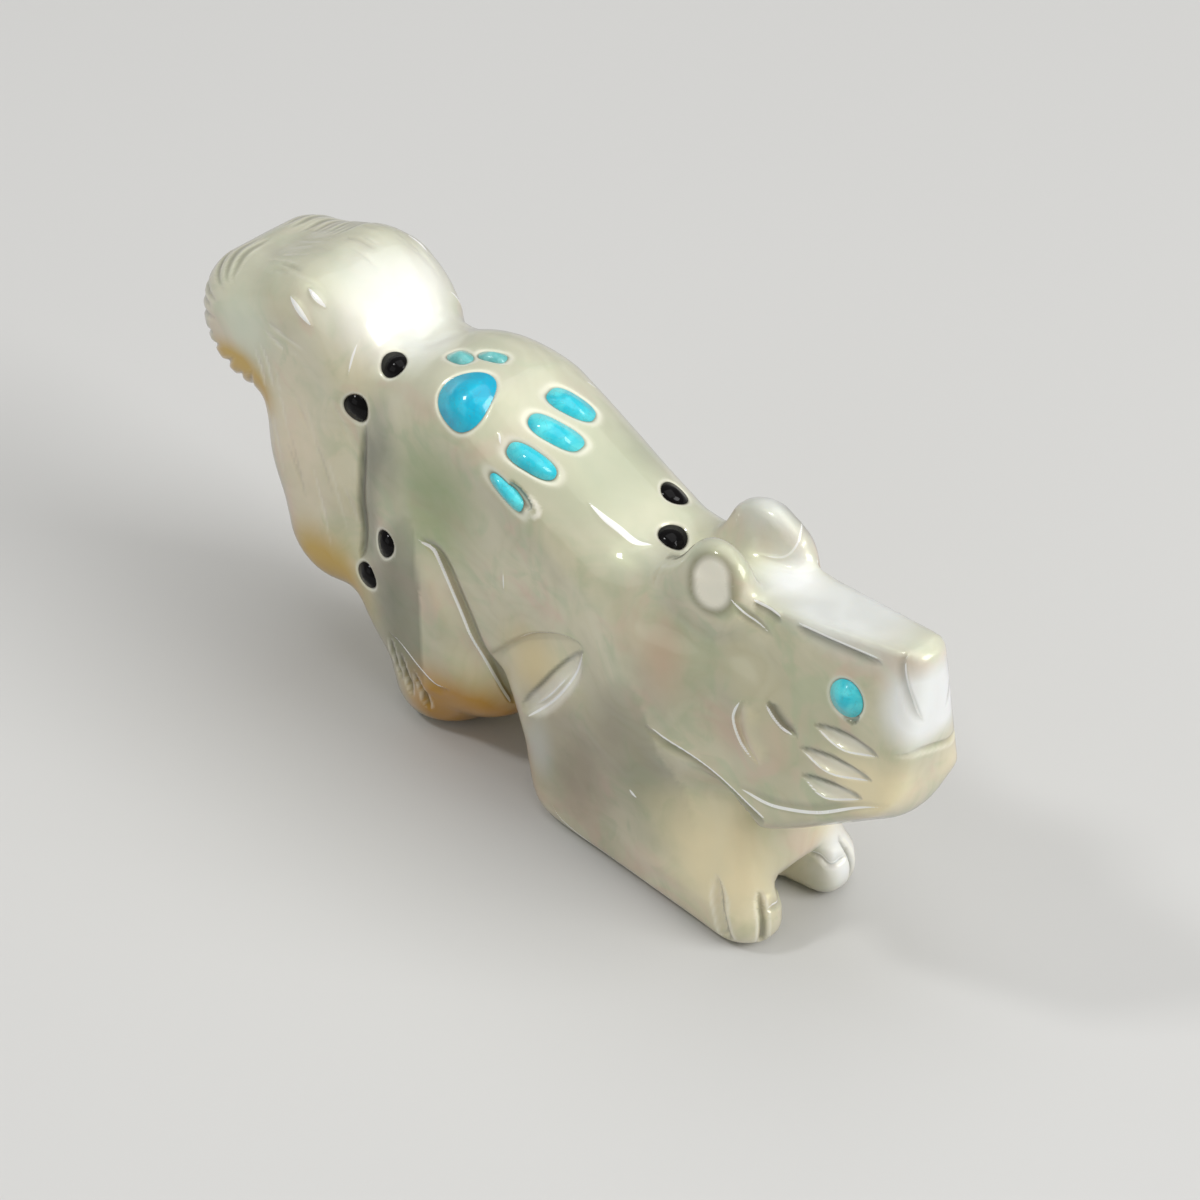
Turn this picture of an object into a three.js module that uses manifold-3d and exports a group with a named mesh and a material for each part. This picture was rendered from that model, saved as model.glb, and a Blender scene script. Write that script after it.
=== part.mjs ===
// A squirrel carved from one thick slab of mother of pearl, crouching on its feet with its tail curled
// up and back. Turquoise eyes, a turquoise paw print and round jet dots are let into the shell.
// Millimetres, +Z up, +X towards the nose. The carving is alike on both sides of the plane y = 0,
// and the bottom of the feet is the plane z = 0.
import * as THREE from "three";
import { mergeVertices } from "three/addons/utils/BufferGeometryUtils.js";
import Module from "manifold-3d";

const wasm = await Module();
wasm.setup();

const FORWARD = new THREE.Vector3(1, 0, 0);

// The forms are drawn in the side view as balls and tapered limbs between them, r is their radius,
// and get their thickness from half, half the thickness, and round, the radius of their edges
const CELL = 1.6; // size of one facet of the shell

const RUMP = { x: 4.1, z: 18.3, r: 10.6 };
const CHEST = { x: 20, z: 15, r: 7.7 };
const BODY = { half: 5.2, round: 4 };

const HIP = { x: -0.6, z: 9.2, r: 6 };
const KNEE = { x: 4, z: 6.6, r: 4.2 };
const HIND_FOOT = { x: 0.4, z: 2.8, r: 3.4 };
const HAUNCH = { half: 5.5, round: 3.8 };

const SHOULDER = { x: 13.7, z: 9.4, r: 5 };
const ELBOW = { x: 15, z: 2.9, r: 4 };
const FOREARM = { x: 19.5, z: 7, r: 6 }; // the thick of the foreleg, under the cheek
const PAW = { x: 28.1, z: 1.9, r: 3 };
const ARM = { half: 5.4, round: 2.2, lean: 0.3 }; // lean draws the top of the forearm inwards
const BREAST = { x: 25, z: 7.6, r: 4.5 }; // the chest between the forelegs, under the chin
const PAW_GAP = { x: 27.6, half: 1.3, flare: 0.2, top: 4.2 }; // the notch between the forepaws

const TAIL_ROOT = { x: -8.7, z: 10.4, r: 4.4 };
const TAIL_WAIST = { x: -9.1, z: 15.5, r: 5.2 };
const TAIL_CREST = { x: -9.8, z: 23.9, r: 6 };
const TAIL_TIP = { x: -15.7, z: 23, r: 5 };
const TAIL = { half: 5.5, round: 3.3 };

const THROAT = { x: 17, z: 15, r: 5.5 };
const JOWL = { x: 27, z: 16.5, r: 6 };
const NECK = { half: 4.4, round: 3.2 };

const NOSE = 40.3; // x of the flat front of the muzzle
const HEAD_BACK = 22;
const CROWN = { x: 27, z: 25.4, rise: 0.19, half: 2.42 }; // the flat top of the head, its height at x
const CHEEK = { x: 30, taper: 0.06, lean: 0.18 }; // narrowing towards the nose, widening downwards
const JAW = { z: 15.6, slope: 0.69, bevel: 1.2 }; // z below the nose
const JAW_BACK = { x: 31.4, z: 10.9, slope: -0.42 }; // where the cheek ends over the foreleg

const EAR = { x: 24.9, y: 2.4, z: 24.8, rx: 3.4, ry: 1.85, rz: 3.4, inner: 1.35 };
const EAR_DISH = { x: 1, z: 2.2, length: 3.2, height: 4.6, depth: 0.7 }; // its middle from the ear's

// Heights over the shell: of a cut's bottom at its two ends, where its cutter stops widening, of its top
const CUTTER = { end: 0.08, edge: 0.15, top: 0.9 };

// Inlays, each let into a pocket with a seam of glue all round. The eyes' places are back from the nose
// and down from the crown, those of the paw print from the rump. The middle stands proud by rise.
const INLAY = { depth: 0.8, seam: 0.12, rise: 0.22, sides: 14 };
const EYE = { back: 4.6, down: 4.2, turn: 0, length: 2.35, width: 2.35, rise: 0.5 };
const DOT = { turn: 0, length: 1.8, width: 1.8 };
const PALM = { x: 0.3, y: -3.6, z: 9.8, turn: 87, length: 4.15, width: 3.75, egg: -0.1 };
const PAW_TOES = [
  { x: 4.8, y: 1.15, z: 9.3, turn: 23, length: 3.5, width: 1.8 },
  { x: 5.8, y: -1.1, z: 8.9, turn: 20, length: 3.8, width: 1.9 },
  { x: 6.05, y: -3.45, z: 8.1, turn: 3, length: 3.7, width: 1.6 },
  { x: 5.5, y: -5, z: 6.2, turn: -17, length: 3.3, width: 1.1 },
];
const PAW_PADS = [
  { x: -2.6, y: -1.3, z: 10.3, turn: -8, length: 2, width: 1.2 },
  { x: -0.9, y: -0.1, z: 10.6, turn: 20, length: 1.8, width: 1 },
];

// Smooth joins of distances
const smoothMin = (a, b, k) => {
  const h = Math.max(k - Math.abs(a - b), 0) / k;
  return Math.min(a, b) - (h * h * k) / 4;
};
const smoothMax = (a, b, k) => -smoothMin(-a, -b, k);

// Distance in the side view to a limb that tapers from ball a to ball b
const limb = (x, z, a, b) => {
  const dx = b.x - a.x;
  const dz = b.z - a.z;
  const t = THREE.MathUtils.clamp(((x - a.x) * dx + (z - a.z) * dz) / (dx * dx + dz * dz), 0, 1);
  return Math.hypot(x - a.x - t * dx, z - a.z - t * dz) - a.r - t * (b.r - a.r);
};

// A side view given its thickness
const thicken = (outline, side, { half, round }) => {
  const a = outline + round;
  const b = side - half + round;
  return Math.min(Math.max(a, b), 0) + Math.hypot(Math.max(a, 0), Math.max(b, 0)) - round;
};

const torso = (x, side, z) => thicken(limb(x, z, RUMP, CHEST), side, BODY);

const haunch = (x, side, z) => {
  let outline = smoothMin(limb(x, z, HIP, KNEE), limb(x, z, HIP, HIND_FOOT), 1.5);
  outline = smoothMin(outline, limb(x, z, KNEE, HIND_FOOT), 1.5);
  return thicken(outline, side, HAUNCH);
};

const foreleg = (x, side, z) => {
  let outline = smoothMin(limb(x, z, SHOULDER, ELBOW), limb(x, z, ELBOW, PAW), 2);
  outline = smoothMin(outline, limb(x, z, FOREARM, PAW), 1);
  outline = Math.min(outline, limb(x, z, BREAST, PAW));
  const width = PAW_GAP.half + PAW_GAP.flare * (x - PAW_GAP.x);
  const notch = Math.max(side - width, PAW_GAP.x - x, z - PAW_GAP.top);
  const forward = THREE.MathUtils.smoothstep(x, ELBOW.x + 4, PAW.x - 1);
  const lean = ARM.lean * Math.max(z - ELBOW.z, 0) * forward;
  return smoothMax(thicken(outline, side + lean, ARM), -notch, 1);
};

const tail = (x, side, z) => {
  let outline = smoothMin(limb(x, z, TAIL_ROOT, TAIL_WAIST), limb(x, z, TAIL_WAIST, TAIL_CREST), 1.2);
  outline = smoothMin(outline, limb(x, z, TAIL_CREST, TAIL_TIP), 1.2);
  return thicken(outline, side, TAIL);
};

const neck = (x, side, z) => thicken(limb(x, z, THROAT, JOWL), side, NECK);

const head = (x, side, z) => {
  const crown = (z - CROWN.z - CROWN.rise * (x - CROWN.x)) / Math.hypot(1, CROWN.rise);
  const width = CROWN.half - CHEEK.taper * (x - CHEEK.x) + CHEEK.lean * (CROWN.z - z);
  const cheek = (side - width) / Math.hypot(1, CHEEK.lean);
  const jaw = (JAW.z - z + JAW.slope * (x - NOSE)) / Math.hypot(1, JAW.slope);
  const underside = (JAW_BACK.z - z + JAW_BACK.slope * (x - JAW_BACK.x)) / Math.hypot(1, JAW_BACK.slope);
  let d = smoothMax(cheek, crown, 0.6);
  d = smoothMax(d, jaw, 1.6);
  d = smoothMax(d, 0.45 * cheek + 0.9 * jaw + JAW.bevel, 0.4);
  d = smoothMax(d, underside, 0.6);
  d = smoothMax(d, x - NOSE, 1.6);
  return smoothMax(d, HEAD_BACK - x, 3);
};

const ear = (x, side, z) => {
  const q = Math.hypot((x - EAR.x) / EAR.rx, (side - EAR.y) / EAR.ry, (z - EAR.z) / EAR.rz);
  return smoothMax((q - 1) * EAR.ry, EAR.inner - side, 0.6);
};

const field = (x, y, z) => {
  const side = Math.abs(y);
  let d = smoothMin(torso(x, side, z), haunch(x, side, z), 1.5);
  d = smoothMin(d, foreleg(x, side, z), 1.2);
  d = smoothMin(d, neck(x, side, z), 2);
  d = smoothMin(d, head(x, side, z), 1);
  d = smoothMin(d, ear(x, side, z), 0.8);
  return smoothMin(d, tail(x, side, z), 2);
};

// The field's gradient at a point, which points out of the shell
const gradient = (p) => {
  const e = 0.05;
  return new THREE.Vector3(
    field(p.x + e, p.y, p.z) - field(p.x - e, p.y, p.z),
    field(p.x, p.y + e, p.z) - field(p.x, p.y - e, p.z),
    field(p.x, p.y, p.z + e) - field(p.x, p.y, p.z - e),
  ).divideScalar(2 * e);
};

// Moves a point to the nearest place on the surface
const settle = (p, rounds) => {
  for (let i = 0; i < rounds; i++) {
    const g = gradient(p);
    p.addScaledVector(g, -field(p.x, p.y, p.z) / Math.max(g.lengthSq(), 0.2));
  }
  return p;
};

// A closed surface where the field is zero: in each cell of a grid, one point for each sheet that
// passes, where the planes that touch the sheet on the cell's edges come nearest to meeting
function polygonise(low, high, step) {
  const count = low.map((v, i) => Math.ceil((high[i] - v) / step) + 1);
  const at = (i, j, k) => i + count[0] * (j + count[1] * k);
  const place = (i, j, k) => new THREE.Vector3(low[0] + i * step, low[1] + j * step, low[2] + k * step);
  const values = new Float32Array(count[0] * count[1] * count[2]);
  for (let k = 0; k < count[2]; k++)
    for (let j = 0; j < count[1]; j++)
      for (let i = 0; i < count[0]; i++) values[at(i, j, k)] = field(...place(i, j, k)) || 1e-6;

  // An edge of a cell is known by 3 times its lower corner, plus its axis; a face by its four edges in turn
  const corners = [0, 1, 2, 3, 4, 5, 6, 7];
  const edges = corners.flatMap((c) => [0, 1, 2].filter((a) => !(c & (1 << a))).map((a) => [c, a]));
  const faces = [0, 1, 2].flatMap((axis) => {
    const [u, v] = [(axis + 1) % 3, (axis + 2) % 3];
    return [0, 1 << axis].map((c) => [
      [c, 3 * c + u, 3 * c + v],
      [c | (1 << u), 3 * c + u, 3 * (c | (1 << u)) + v],
      [c | (1 << v), 3 * (c | (1 << v)) + u, 3 * c + v],
      [c | (1 << u) | (1 << v), 3 * (c | (1 << v)) + u, 3 * (c | (1 << u)) + v],
    ]);
  });
  const positions = [];
  const cells = new Map();
  const pointsOf = (i, j, k) => {
    const key = at(i, j, k);
    if (cells.has(key)) return cells.get(key);
    const corner = corners.map((c) => values[at(i + (c & 1), j + ((c >> 1) & 1), k + (c >> 2))]);
    const sheet = new Map();
    for (const [c, axis] of edges) {
      const crossed = corner[c] < 0 !== corner[c | (1 << axis)] < 0;
      if (crossed) sheet.set(3 * c + axis, 3 * c + axis);
    }
    const join = (a, b) => {
      const [from, to] = [sheet.get(a), sheet.get(b)];
      for (const [edge, s] of sheet) if (s === from) sheet.set(edge, to);
    };
    for (const face of faces) {
      const crossed = [...new Set(face.flatMap(([, a, b]) => [a, b]))].filter((e) => sheet.has(e));
      if (crossed.length === 2) join(crossed[0], crossed[1]);
      if (crossed.length === 4) for (const [c, a, b] of face) if (corner[c] < 0) join(a, b);
    }
    const sheets = new Map();
    for (const [edge, s] of sheet) {
      const c = Math.floor(edge / 3);
      const d = c | (1 << edge % 3);
      const a = place(i + (c & 1), j + ((c >> 1) & 1), k + (c >> 2));
      const b = place(i + (d & 1), j + ((d >> 1) & 1), k + (d >> 2));
      const point = a.lerp(b, corner[c] / (corner[c] - corner[d]));
      if (!sheets.has(s)) sheets.set(s, []);
      sheets.get(s).push({ point, normal: gradient(point).normalize() });
    }
    const indexOf = new Map();
    for (const [s, crossings] of sheets) {
      const middle = new THREE.Vector3();
      for (const { point } of crossings) middle.addScaledVector(point, 1 / crossings.length);
      const p = middle.clone();
      for (let n = 0; n < 12; n++) {
        const pull = new THREE.Vector3();
        for (const { point, normal } of crossings)
          pull.addScaledVector(normal, normal.dot(point) - normal.dot(p));
        p.addScaledVector(pull, 1.5 / crossings.length);
      }
      p.sub(middle).clampLength(0, 0.45 * step).add(middle);
      indexOf.set(s, positions.length / 3);
      positions.push(p.x, p.y, p.z);
    }
    const points = new Map([...sheet].map(([edge, s]) => [edge, indexOf.get(s)]));
    cells.set(key, points);
    return points;
  };

  const index = [];
  const unit = [[1, 0, 0], [0, 1, 0], [0, 0, 1]];
  for (let k = 1; k < count[2] - 1; k++)
    for (let j = 1; j < count[1] - 1; j++)
      for (let i = 1; i < count[0] - 1; i++)
        for (let axis = 0; axis < 3; axis++) {
          const [u, v] = [(axis + 1) % 3, (axis + 2) % 3];
          const inside = values[at(i, j, k)] < 0;
          const next = values[at(i + unit[axis][0], j + unit[axis][1], k + unit[axis][2])] < 0;
          if (inside === next) continue;
          const point = (a, b) => {
            const cell = [0, 1, 2].map((n) => [i, j, k][n] - a * unit[u][n] - b * unit[v][n]);
            return pointsOf(...cell).get(3 * ((a << u) | (b << v)) + axis);
          };
          const quad = [point(0, 0), point(1, 0), point(1, 1), point(0, 1)];
          if (!inside) quad.reverse();
          index.push(quad[0], quad[1], quad[2], quad[0], quad[2], quad[3]);
        }
  return new THREE.BufferGeometry()
    .setAttribute("position", new THREE.BufferAttribute(new Float32Array(positions), 3))
    .setIndex(index);
}

// Solids for cutting and joining
const toSolid = (geometry) => {
  const bare = new THREE.BufferGeometry();
  bare.setAttribute("position", geometry.getAttribute("position").clone());
  if (geometry.index) bare.setIndex(geometry.index);
  const merged = mergeVertices(bare, 1e-5);
  const vertProperties = new Float32Array(merged.getAttribute("position").array);
  const triVerts = new Uint32Array(merged.index.array);
  return new wasm.Manifold(new wasm.Mesh({ numProp: 3, vertProperties, triVerts }));
};
const toGeometry = (solid) => {
  const { vertProperties, triVerts } = solid.getMesh();
  return new THREE.BufferGeometry()
    .setAttribute("position", new THREE.BufferAttribute(vertProperties, 3))
    .setIndex([...triVerts]);
};

// A frame standing on the surface: its origin there, z along the normal and x along a direction
const seat = (point, along) => {
  const origin = settle(point.clone(), 8);
  const normal = gradient(origin).normalize();
  const across = normal.clone().cross(along).normalize();
  const frame = new THREE.Matrix4().makeBasis(across.clone().cross(normal), across, normal);
  return frame.setPosition(origin);
};

// Places are given from a form, or on the cheek back from the nose and down from the crown
const from = (form, x, y, z) => new THREE.Vector3(form.x + x, y, form.z + z);
const onCheek = (back, down) => {
  const x = NOSE - back;
  const crown = CROWN.z + CROWN.rise * (x - CROWN.x);
  return new THREE.Vector3(x, -CROWN.half - CHEEK.lean * down, crown - down);
};
const mirrored = (p) => new THREE.Vector3(p.x, -p.y, p.z);

// The cutter for a V-shaped cut along a line on the surface, deepest in its middle
function groove({ width, depth, line }, steps = 4) {
  const curve = new THREE.CatmullRomCurve3(line);
  const positions = [];
  const index = [];
  for (let i = 0; i <= steps; i++) {
    const t = i / steps;
    const frame = seat(curve.getPoint(t), curve.getTangent(t));
    const keel = CUTTER.end - (depth + CUTTER.end) * Math.sin(Math.PI * t) ** 0.7;
    const half = ((CUTTER.edge - keel) * width) / 2 / depth;
    const { edge, top } = CUTTER;
    for (const [y, z] of [[0, keel], [half, edge], [half, top], [-half, top], [-half, edge]])
      positions.push(...new THREE.Vector3(0, y, z).applyMatrix4(frame));
    if (i === steps) break;
    for (let side = 0; side < 5; side++) {
      const a = 5 * i + side;
      const b = 5 * i + ((side + 1) % 5);
      index.push(a, b, b + 5, a, b + 5, a + 5);
    }
  }
  for (let k = 1; k < 4; k++) index.push(0, k + 1, k, 5 * steps, 5 * steps + k, 5 * steps + k + 1);
  return toSolid(
    new THREE.BufferGeometry()
      .setAttribute("position", new THREE.BufferAttribute(new Float32Array(positions), 3))
      .setIndex(index),
  );
}

// The cutter for the hollow of an ear
const dish = (place) =>
  toSolid(
    new THREE.SphereGeometry(1, 14, 8)
      .scale(EAR_DISH.length / 2, EAR_DISH.height / 2, EAR_DISH.depth)
      .applyMatrix4(seat(place, FORWARD)),
  );

// An inlay: its outline is an oval, or with egg one that is broader at its far end, and its top follows
// the shell and is domed. The cutter for its pocket is the same outline grown by the seam.
function inlay(frame, { length, width, egg = 0, rise = INLAY.rise }, pocket = false) {
  const grow = pocket ? INLAY.seam : 0;
  const top = pocket ? 1.5 * INLAY.depth : 0;
  const floor = -INLAY.depth - grow;
  const profile = [[0, floor], [1, floor], [1, top], [0.6, top], [0, top]];
  const points = profile.map(([r, z]) => new THREE.Vector2(r, z));
  const geometry = new THREE.LatheGeometry(points, INLAY.sides).rotateX(Math.PI / 2).rotateZ(Math.PI);
  const position = geometry.getAttribute("position");
  const normal = new THREE.Vector3().setFromMatrixColumn(frame, 2);
  for (let i = 0; i < position.count; i++) {
    const p = new THREE.Vector3().fromBufferAttribute(position, i);
    const dome = rise * (1 - p.x * p.x - p.y * p.y);
    const follows = !pocket && p.z > floor / 2;
    p.y *= (width / 2 + grow) * (1 + egg * p.x);
    p.x *= length / 2 + grow;
    p.applyMatrix4(frame);
    if (follows) p.addScaledVector(normal, THREE.MathUtils.clamp(-field(p.x, p.y, p.z), -0.6, 0.6) + dome);
    position.setXYZ(i, p.x, p.y, p.z);
  }
  return toSolid(geometry);
}

// The space around the forms, with a few facets to spare and the middle plane midway between facets
const halves = [BODY.half, HAUNCH.half, ARM.half, TAIL.half, EAR.y + EAR.ry];
const halfSpace = (Math.ceil(Math.max(...halves) / CELL) + 2.5) * CELL;
const rear = Math.min(TAIL_TIP.x - TAIL_TIP.r, TAIL_CREST.x - TAIL_CREST.r);
const bottom = Math.min(ELBOW.z - ELBOW.r, PAW.z - PAW.r, HIND_FOOT.z - HIND_FOOT.r);
const top = Math.max(TAIL_CREST.z + TAIL_CREST.r, RUMP.z + RUMP.r, EAR.z + EAR.rz);
const low = [rear - 2 * CELL, -halfSpace, bottom - 2 * CELL];
const high = [NOSE + 2 * CELL, halfSpace, top + 2 * CELL];
let shell = toSolid(polygonise(low, high, CELL));

// Cuts on the right side, made on the left side too
const cut = (width, depth, ...line) => ({ width, depth, line });
const hair = (...line) => cut(1.1, 0.3, ...line);
const sideCuts = [
  // whiskers
  cut(1.1, 0.35, onCheek(6.6, 6.7), onCheek(4, 6.5), onCheek(1.5, 7.2)),
  cut(1.1, 0.35, onCheek(7.3, 8.5), onCheek(4.5, 8.5), onCheek(1.7, 9.2)),
  cut(1, 0.35, onCheek(6.6, 10.3), onCheek(4.2, 10.2), onCheek(1.9, 10.2)),
  // fold between the cheek and the foreleg
  cut(0.8, 0.4, from(PAW, -5.6, -5.2, 11.6), from(PAW, -1.6, -5, 10.8), from(PAW, 1.6, -4.6, 9.6)),
  // front of the haunch, hollow of the flank and the hair in it
  cut(0.7, 0.35, from(KNEE, -2.2, -5.3, 10), from(KNEE, 1.3, -5.2, 7), from(KNEE, 3.3, -5, 3.5)),
  cut(3.6, 0.6, from(KNEE, 4.9, -5.1, 2.2), from(KNEE, 8.4, -5.3, 6.4), from(KNEE, 12, -5.3, 10)),
  cut(1.7, 0.7, from(KNEE, 7.4, -5.4, 2.5), from(KNEE, 10.2, -5.4, 6.3), from(KNEE, 12.6, -5.4, 9.7)),
  // toes of the hind foot and of the forepaw
  cut(1, 0.4, from(HIND_FOOT, -1.6, -5.5, 3.7), from(HIND_FOOT, -1.4, -4.9, 0.6)),
  cut(1, 0.4, from(HIND_FOOT, -0.4, -5.5, 2.5), from(HIND_FOOT, 0, -4.6, -0.4)),
  cut(1, 0.4, from(HIND_FOOT, 1, -5.5, 1.8), from(HIND_FOOT, 1.4, -4.4, -1)),
  cut(1.6, 0.6, from(PAW, 0.1, -4.6, 2.9), from(PAW, 0.9, -5.4, -0.6), from(PAW, 1, -4.6, -3.4)),
  cut(1, 0.5, from(PAW, 1.9, -3.3, 2.5), from(PAW, 3.1, -3.8, 0.2), from(PAW, 2.8, -3.4, -3)),
  // hair of the tail
  hair(from(TAIL_WAIST, 2.6, -5, -2), from(TAIL_CREST, 3.4, -5, -2), from(TAIL_CREST, 1.6, -4.6, 3.2)),
  hair(from(TAIL_WAIST, 0.4, -5.4, -3), from(TAIL_CREST, 0.6, -5.4, -2), from(TAIL_CREST, -3.2, -4.8, 2.6)),
  hair(from(TAIL_WAIST, -2.2, -5, -1.5), from(TAIL_CREST, -2, -5.4, -2.4), from(TAIL_TIP, -1, -4.8, 1.8)),
  hair(from(TAIL_TIP, 2, -5.4, -1.6), from(TAIL_TIP, -3.6, -3.6, -0.4)),
  hair(from(TAIL_TIP, 2, -5, -3), from(TAIL_TIP, -2.6, -3.4, -3.2)),
];
for (const { width, depth, line } of sideCuts) {
  shell = shell.subtract(groove(cut(width, depth, ...line)));
  shell = shell.subtract(groove(cut(width, depth, ...line.map(mirrored))));
}

// The mouth runs round the muzzle
const lips = [onCheek(3, 6.2), onCheek(0.6, 6.8), onCheek(-0.3, 6.9)];
shell = shell.subtract(groove(cut(0.8, 0.35, ...lips, ...lips.map(mirrored).reverse()), 8));

const earMiddle = from(EAR, EAR_DISH.x, -EAR.y - EAR.ry, EAR_DISH.z);
shell = shell.subtract(dish(earMiddle)).subtract(dish(mirrored(earMiddle)));

// The soles are cut flat
const ground = new THREE.BoxGeometry(high[0] - low[0], 2 * halfSpace, -low[2]);
shell = shell.subtract(toSolid(ground.translate((low[0] + high[0]) / 2, 0, low[2] / 2)));

const TURQUOISE = { color: 0x2fb4c8, roughness: 0.3, metalness: 0 };
const JET = { color: 0x0b0a0a, roughness: 0.25, metalness: 0 };
const eye = onCheek(EYE.back, EYE.down);
const onRump = (shape) => from(RUMP, shape.x, shape.y, shape.z);
const dots = [
  from(TAIL_CREST, 7, -2.75, 2.2),
  from(TAIL_CREST, 5.3, -4.8, -0.8),
  from(HIP, -0.9, -5.4, 5),
  from(HIP, -2.9, -5.4, 1.2),
  from(HIP, -0.9, 5.4, 5),
  from(HIP, -2.9, 5.4, 1.2),
  from(CHEST, -3.45, 2.5, 9.3),
  from(CHEST, -1.1, 0, 8.6),
];
const inlays = [];
const addInlay = (name, place, shape, material) => inlays.push({ name, place, shape, material });
addInlay("eye_right", eye, EYE, TURQUOISE);
addInlay("eye_left", mirrored(eye), EYE, TURQUOISE);
addInlay("paw_palm", onRump(PALM), PALM, TURQUOISE);
PAW_TOES.forEach((toe, i) => addInlay(`paw_toe_${i + 1}`, onRump(toe), toe, TURQUOISE));
PAW_PADS.forEach((pad, i) => addInlay(`paw_pad_${i + 1}`, onRump(pad), pad, TURQUOISE));
dots.forEach((place, i) => addInlay(`jet_dot_${i + 1}`, place, DOT, JET));

const part = new THREE.Group();
const addPiece = (name, solid, material) => {
  const mesh = new THREE.Mesh(toGeometry(solid), new THREE.MeshStandardMaterial(material));
  mesh.name = name;
  part.add(mesh);
};
for (const { name, place, shape, material } of inlays) {
  const turn = new THREE.Matrix4().makeRotationZ(THREE.MathUtils.degToRad(shape.turn));
  const frame = seat(place, FORWARD).multiply(turn);
  shell = shell.subtract(inlay(frame, shape, true));
  addPiece(name, inlay(frame, shape), material);
}
addPiece("shell_body", shell, { color: 0xd8d4c4, roughness: 0.2, metalness: 0 });

const box = new THREE.Box3().setFromObject(part);
part.position.set(-(box.min.x + box.max.x) / 2, -(box.min.y + box.max.y) / 2, -box.min.z);

export default part;
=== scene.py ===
"""A squirrel carved from one thick slab of mother of pearl, with inlays of turquoise and jet.

The shell is cut as its carver would: the plain CAD blank is copied and made fine, its surface is drawn
true to the forms, and the strokes of the engraving are pressed into it. The inlays are turned as round
buttons and then laid on the shell.
"""
import math

import bpy
import numpy as np
from mathutils import Matrix, Vector


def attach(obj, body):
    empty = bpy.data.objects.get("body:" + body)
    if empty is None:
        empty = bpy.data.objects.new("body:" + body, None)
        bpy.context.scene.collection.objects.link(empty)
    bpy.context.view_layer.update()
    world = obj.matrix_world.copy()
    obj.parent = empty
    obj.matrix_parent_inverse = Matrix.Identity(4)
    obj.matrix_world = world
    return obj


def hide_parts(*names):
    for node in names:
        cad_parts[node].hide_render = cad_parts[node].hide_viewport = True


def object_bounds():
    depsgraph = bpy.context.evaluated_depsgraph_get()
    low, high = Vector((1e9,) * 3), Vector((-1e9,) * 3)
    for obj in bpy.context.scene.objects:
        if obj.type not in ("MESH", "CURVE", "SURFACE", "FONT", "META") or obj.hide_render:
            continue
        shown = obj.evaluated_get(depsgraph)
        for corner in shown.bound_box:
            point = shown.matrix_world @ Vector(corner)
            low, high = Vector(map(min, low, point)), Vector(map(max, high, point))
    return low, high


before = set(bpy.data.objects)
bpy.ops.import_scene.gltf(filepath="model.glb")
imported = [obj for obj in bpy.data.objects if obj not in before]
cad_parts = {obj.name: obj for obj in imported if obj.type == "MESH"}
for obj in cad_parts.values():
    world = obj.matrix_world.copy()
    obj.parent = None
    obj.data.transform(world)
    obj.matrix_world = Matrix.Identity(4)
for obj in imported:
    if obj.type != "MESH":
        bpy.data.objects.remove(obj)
cad_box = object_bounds()

# The carving is drawn in millimetres from an origin between its hind feet, and set in the frame from there
MM = 0.001
ORIGIN = np.array([9.8559, 0.0, 0.0])

# ---------------------------------------------------------------------------------------------- forms
# Balls and the ends of tapered limbs in the side view: x, z and radius
RUMP = (4.1, 18.3, 10.6)
CHEST = (20, 15, 7.7)
HIP = (-0.6, 9.2, 6)
KNEE = (4, 6.6, 4.2)
HIND_FOOT = (0.4, 2.8, 3.4)
SHOULDER = (13.7, 9.4, 5)
ELBOW = (15, 2.9, 4)
FOREARM = (19.5, 7, 6)
PAW = (28.1, 1.9, 3)
BREAST = (25, 7.6, 4.5)
TAIL_ROOT = (-8.7, 10.4, 4.4)
TAIL_WAIST = (-9.1, 15.5, 5.2)
TAIL_CREST = (-9.8, 23.9, 6)
TAIL_TIP = (-15.7, 23, 5)
THROAT = (17, 15, 5.5)
JOWL = (27, 16.5, 6)

# Half thickness and edge radius of the forms
BODY, HAUNCH, ARM, TAIL, NECK = (5.2, 4), (5.5, 3.8), (5.4, 2.2), (5.5, 3.3), (4.4, 3.2)

# The forearms lean inwards from LEAN_START on, and a notch parts the paws in front
LEAN, LEAN_START, LEAN_LENGTH = 0.3, 19, 8.1
NOTCH_BACK, NOTCH_TOP, NOTCH_HALF, NOTCH_FLARE = 27.6, 4.2, 1.3, 0.2

# The head is a wedge between planes: heights, half widths and slopes
NOSE, HEAD_BACK = 40.3, 22
CROWN, CROWN_RISE = 25.4, 0.19
FACE_HALF, FACE_TAPER, FACE_FLARE = 2.42, 0.06, 0.18
JAW_FRONT, JAW_RISE = 15.6, 0.69
UNDERSIDE, UNDERSIDE_FALL = 10.9, 0.42

# Ears, the rise of the neck behind them, and a swelling between tail and rump. A place is x, side and z.
EAR_SIDE, EAR_HEIGHT, EAR_HALF, EAR_REACH_UP, EAR_PARTING = 2.4, 24.8, 1.85, 3.4, 1.35
EAR_ROOT, EAR_ROOT_RUN, EAR_ROOT_RADIUS, EAR_ROOT_GROWTH = (19.6, 2.5, 22.2), (5, 2.8), 1, 0.5
BOSS, BOSS_RADIUS = (-2.9, 2, 24.9), 1.2


def smooth_min(a, b, blend):
    h = np.maximum(blend - np.abs(a - b), 0) / blend
    return np.minimum(a, b) - h * h * blend / 4


def smooth_max(a, b, blend):
    return -smooth_min(-a, -b, blend)


def limb(x, z, a, b):
    """Distance to a tapered limb between two balls of the side view."""
    dx, dz = b[0] - a[0], b[1] - a[1]
    t = np.clip(((x - a[0]) * dx + (z - a[1]) * dz) / (dx * dx + dz * dz), 0, 1)
    return np.hypot(x - a[0] - t * dx, z - a[1] - t * dz) - a[2] - t * (b[2] - a[2])


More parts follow.
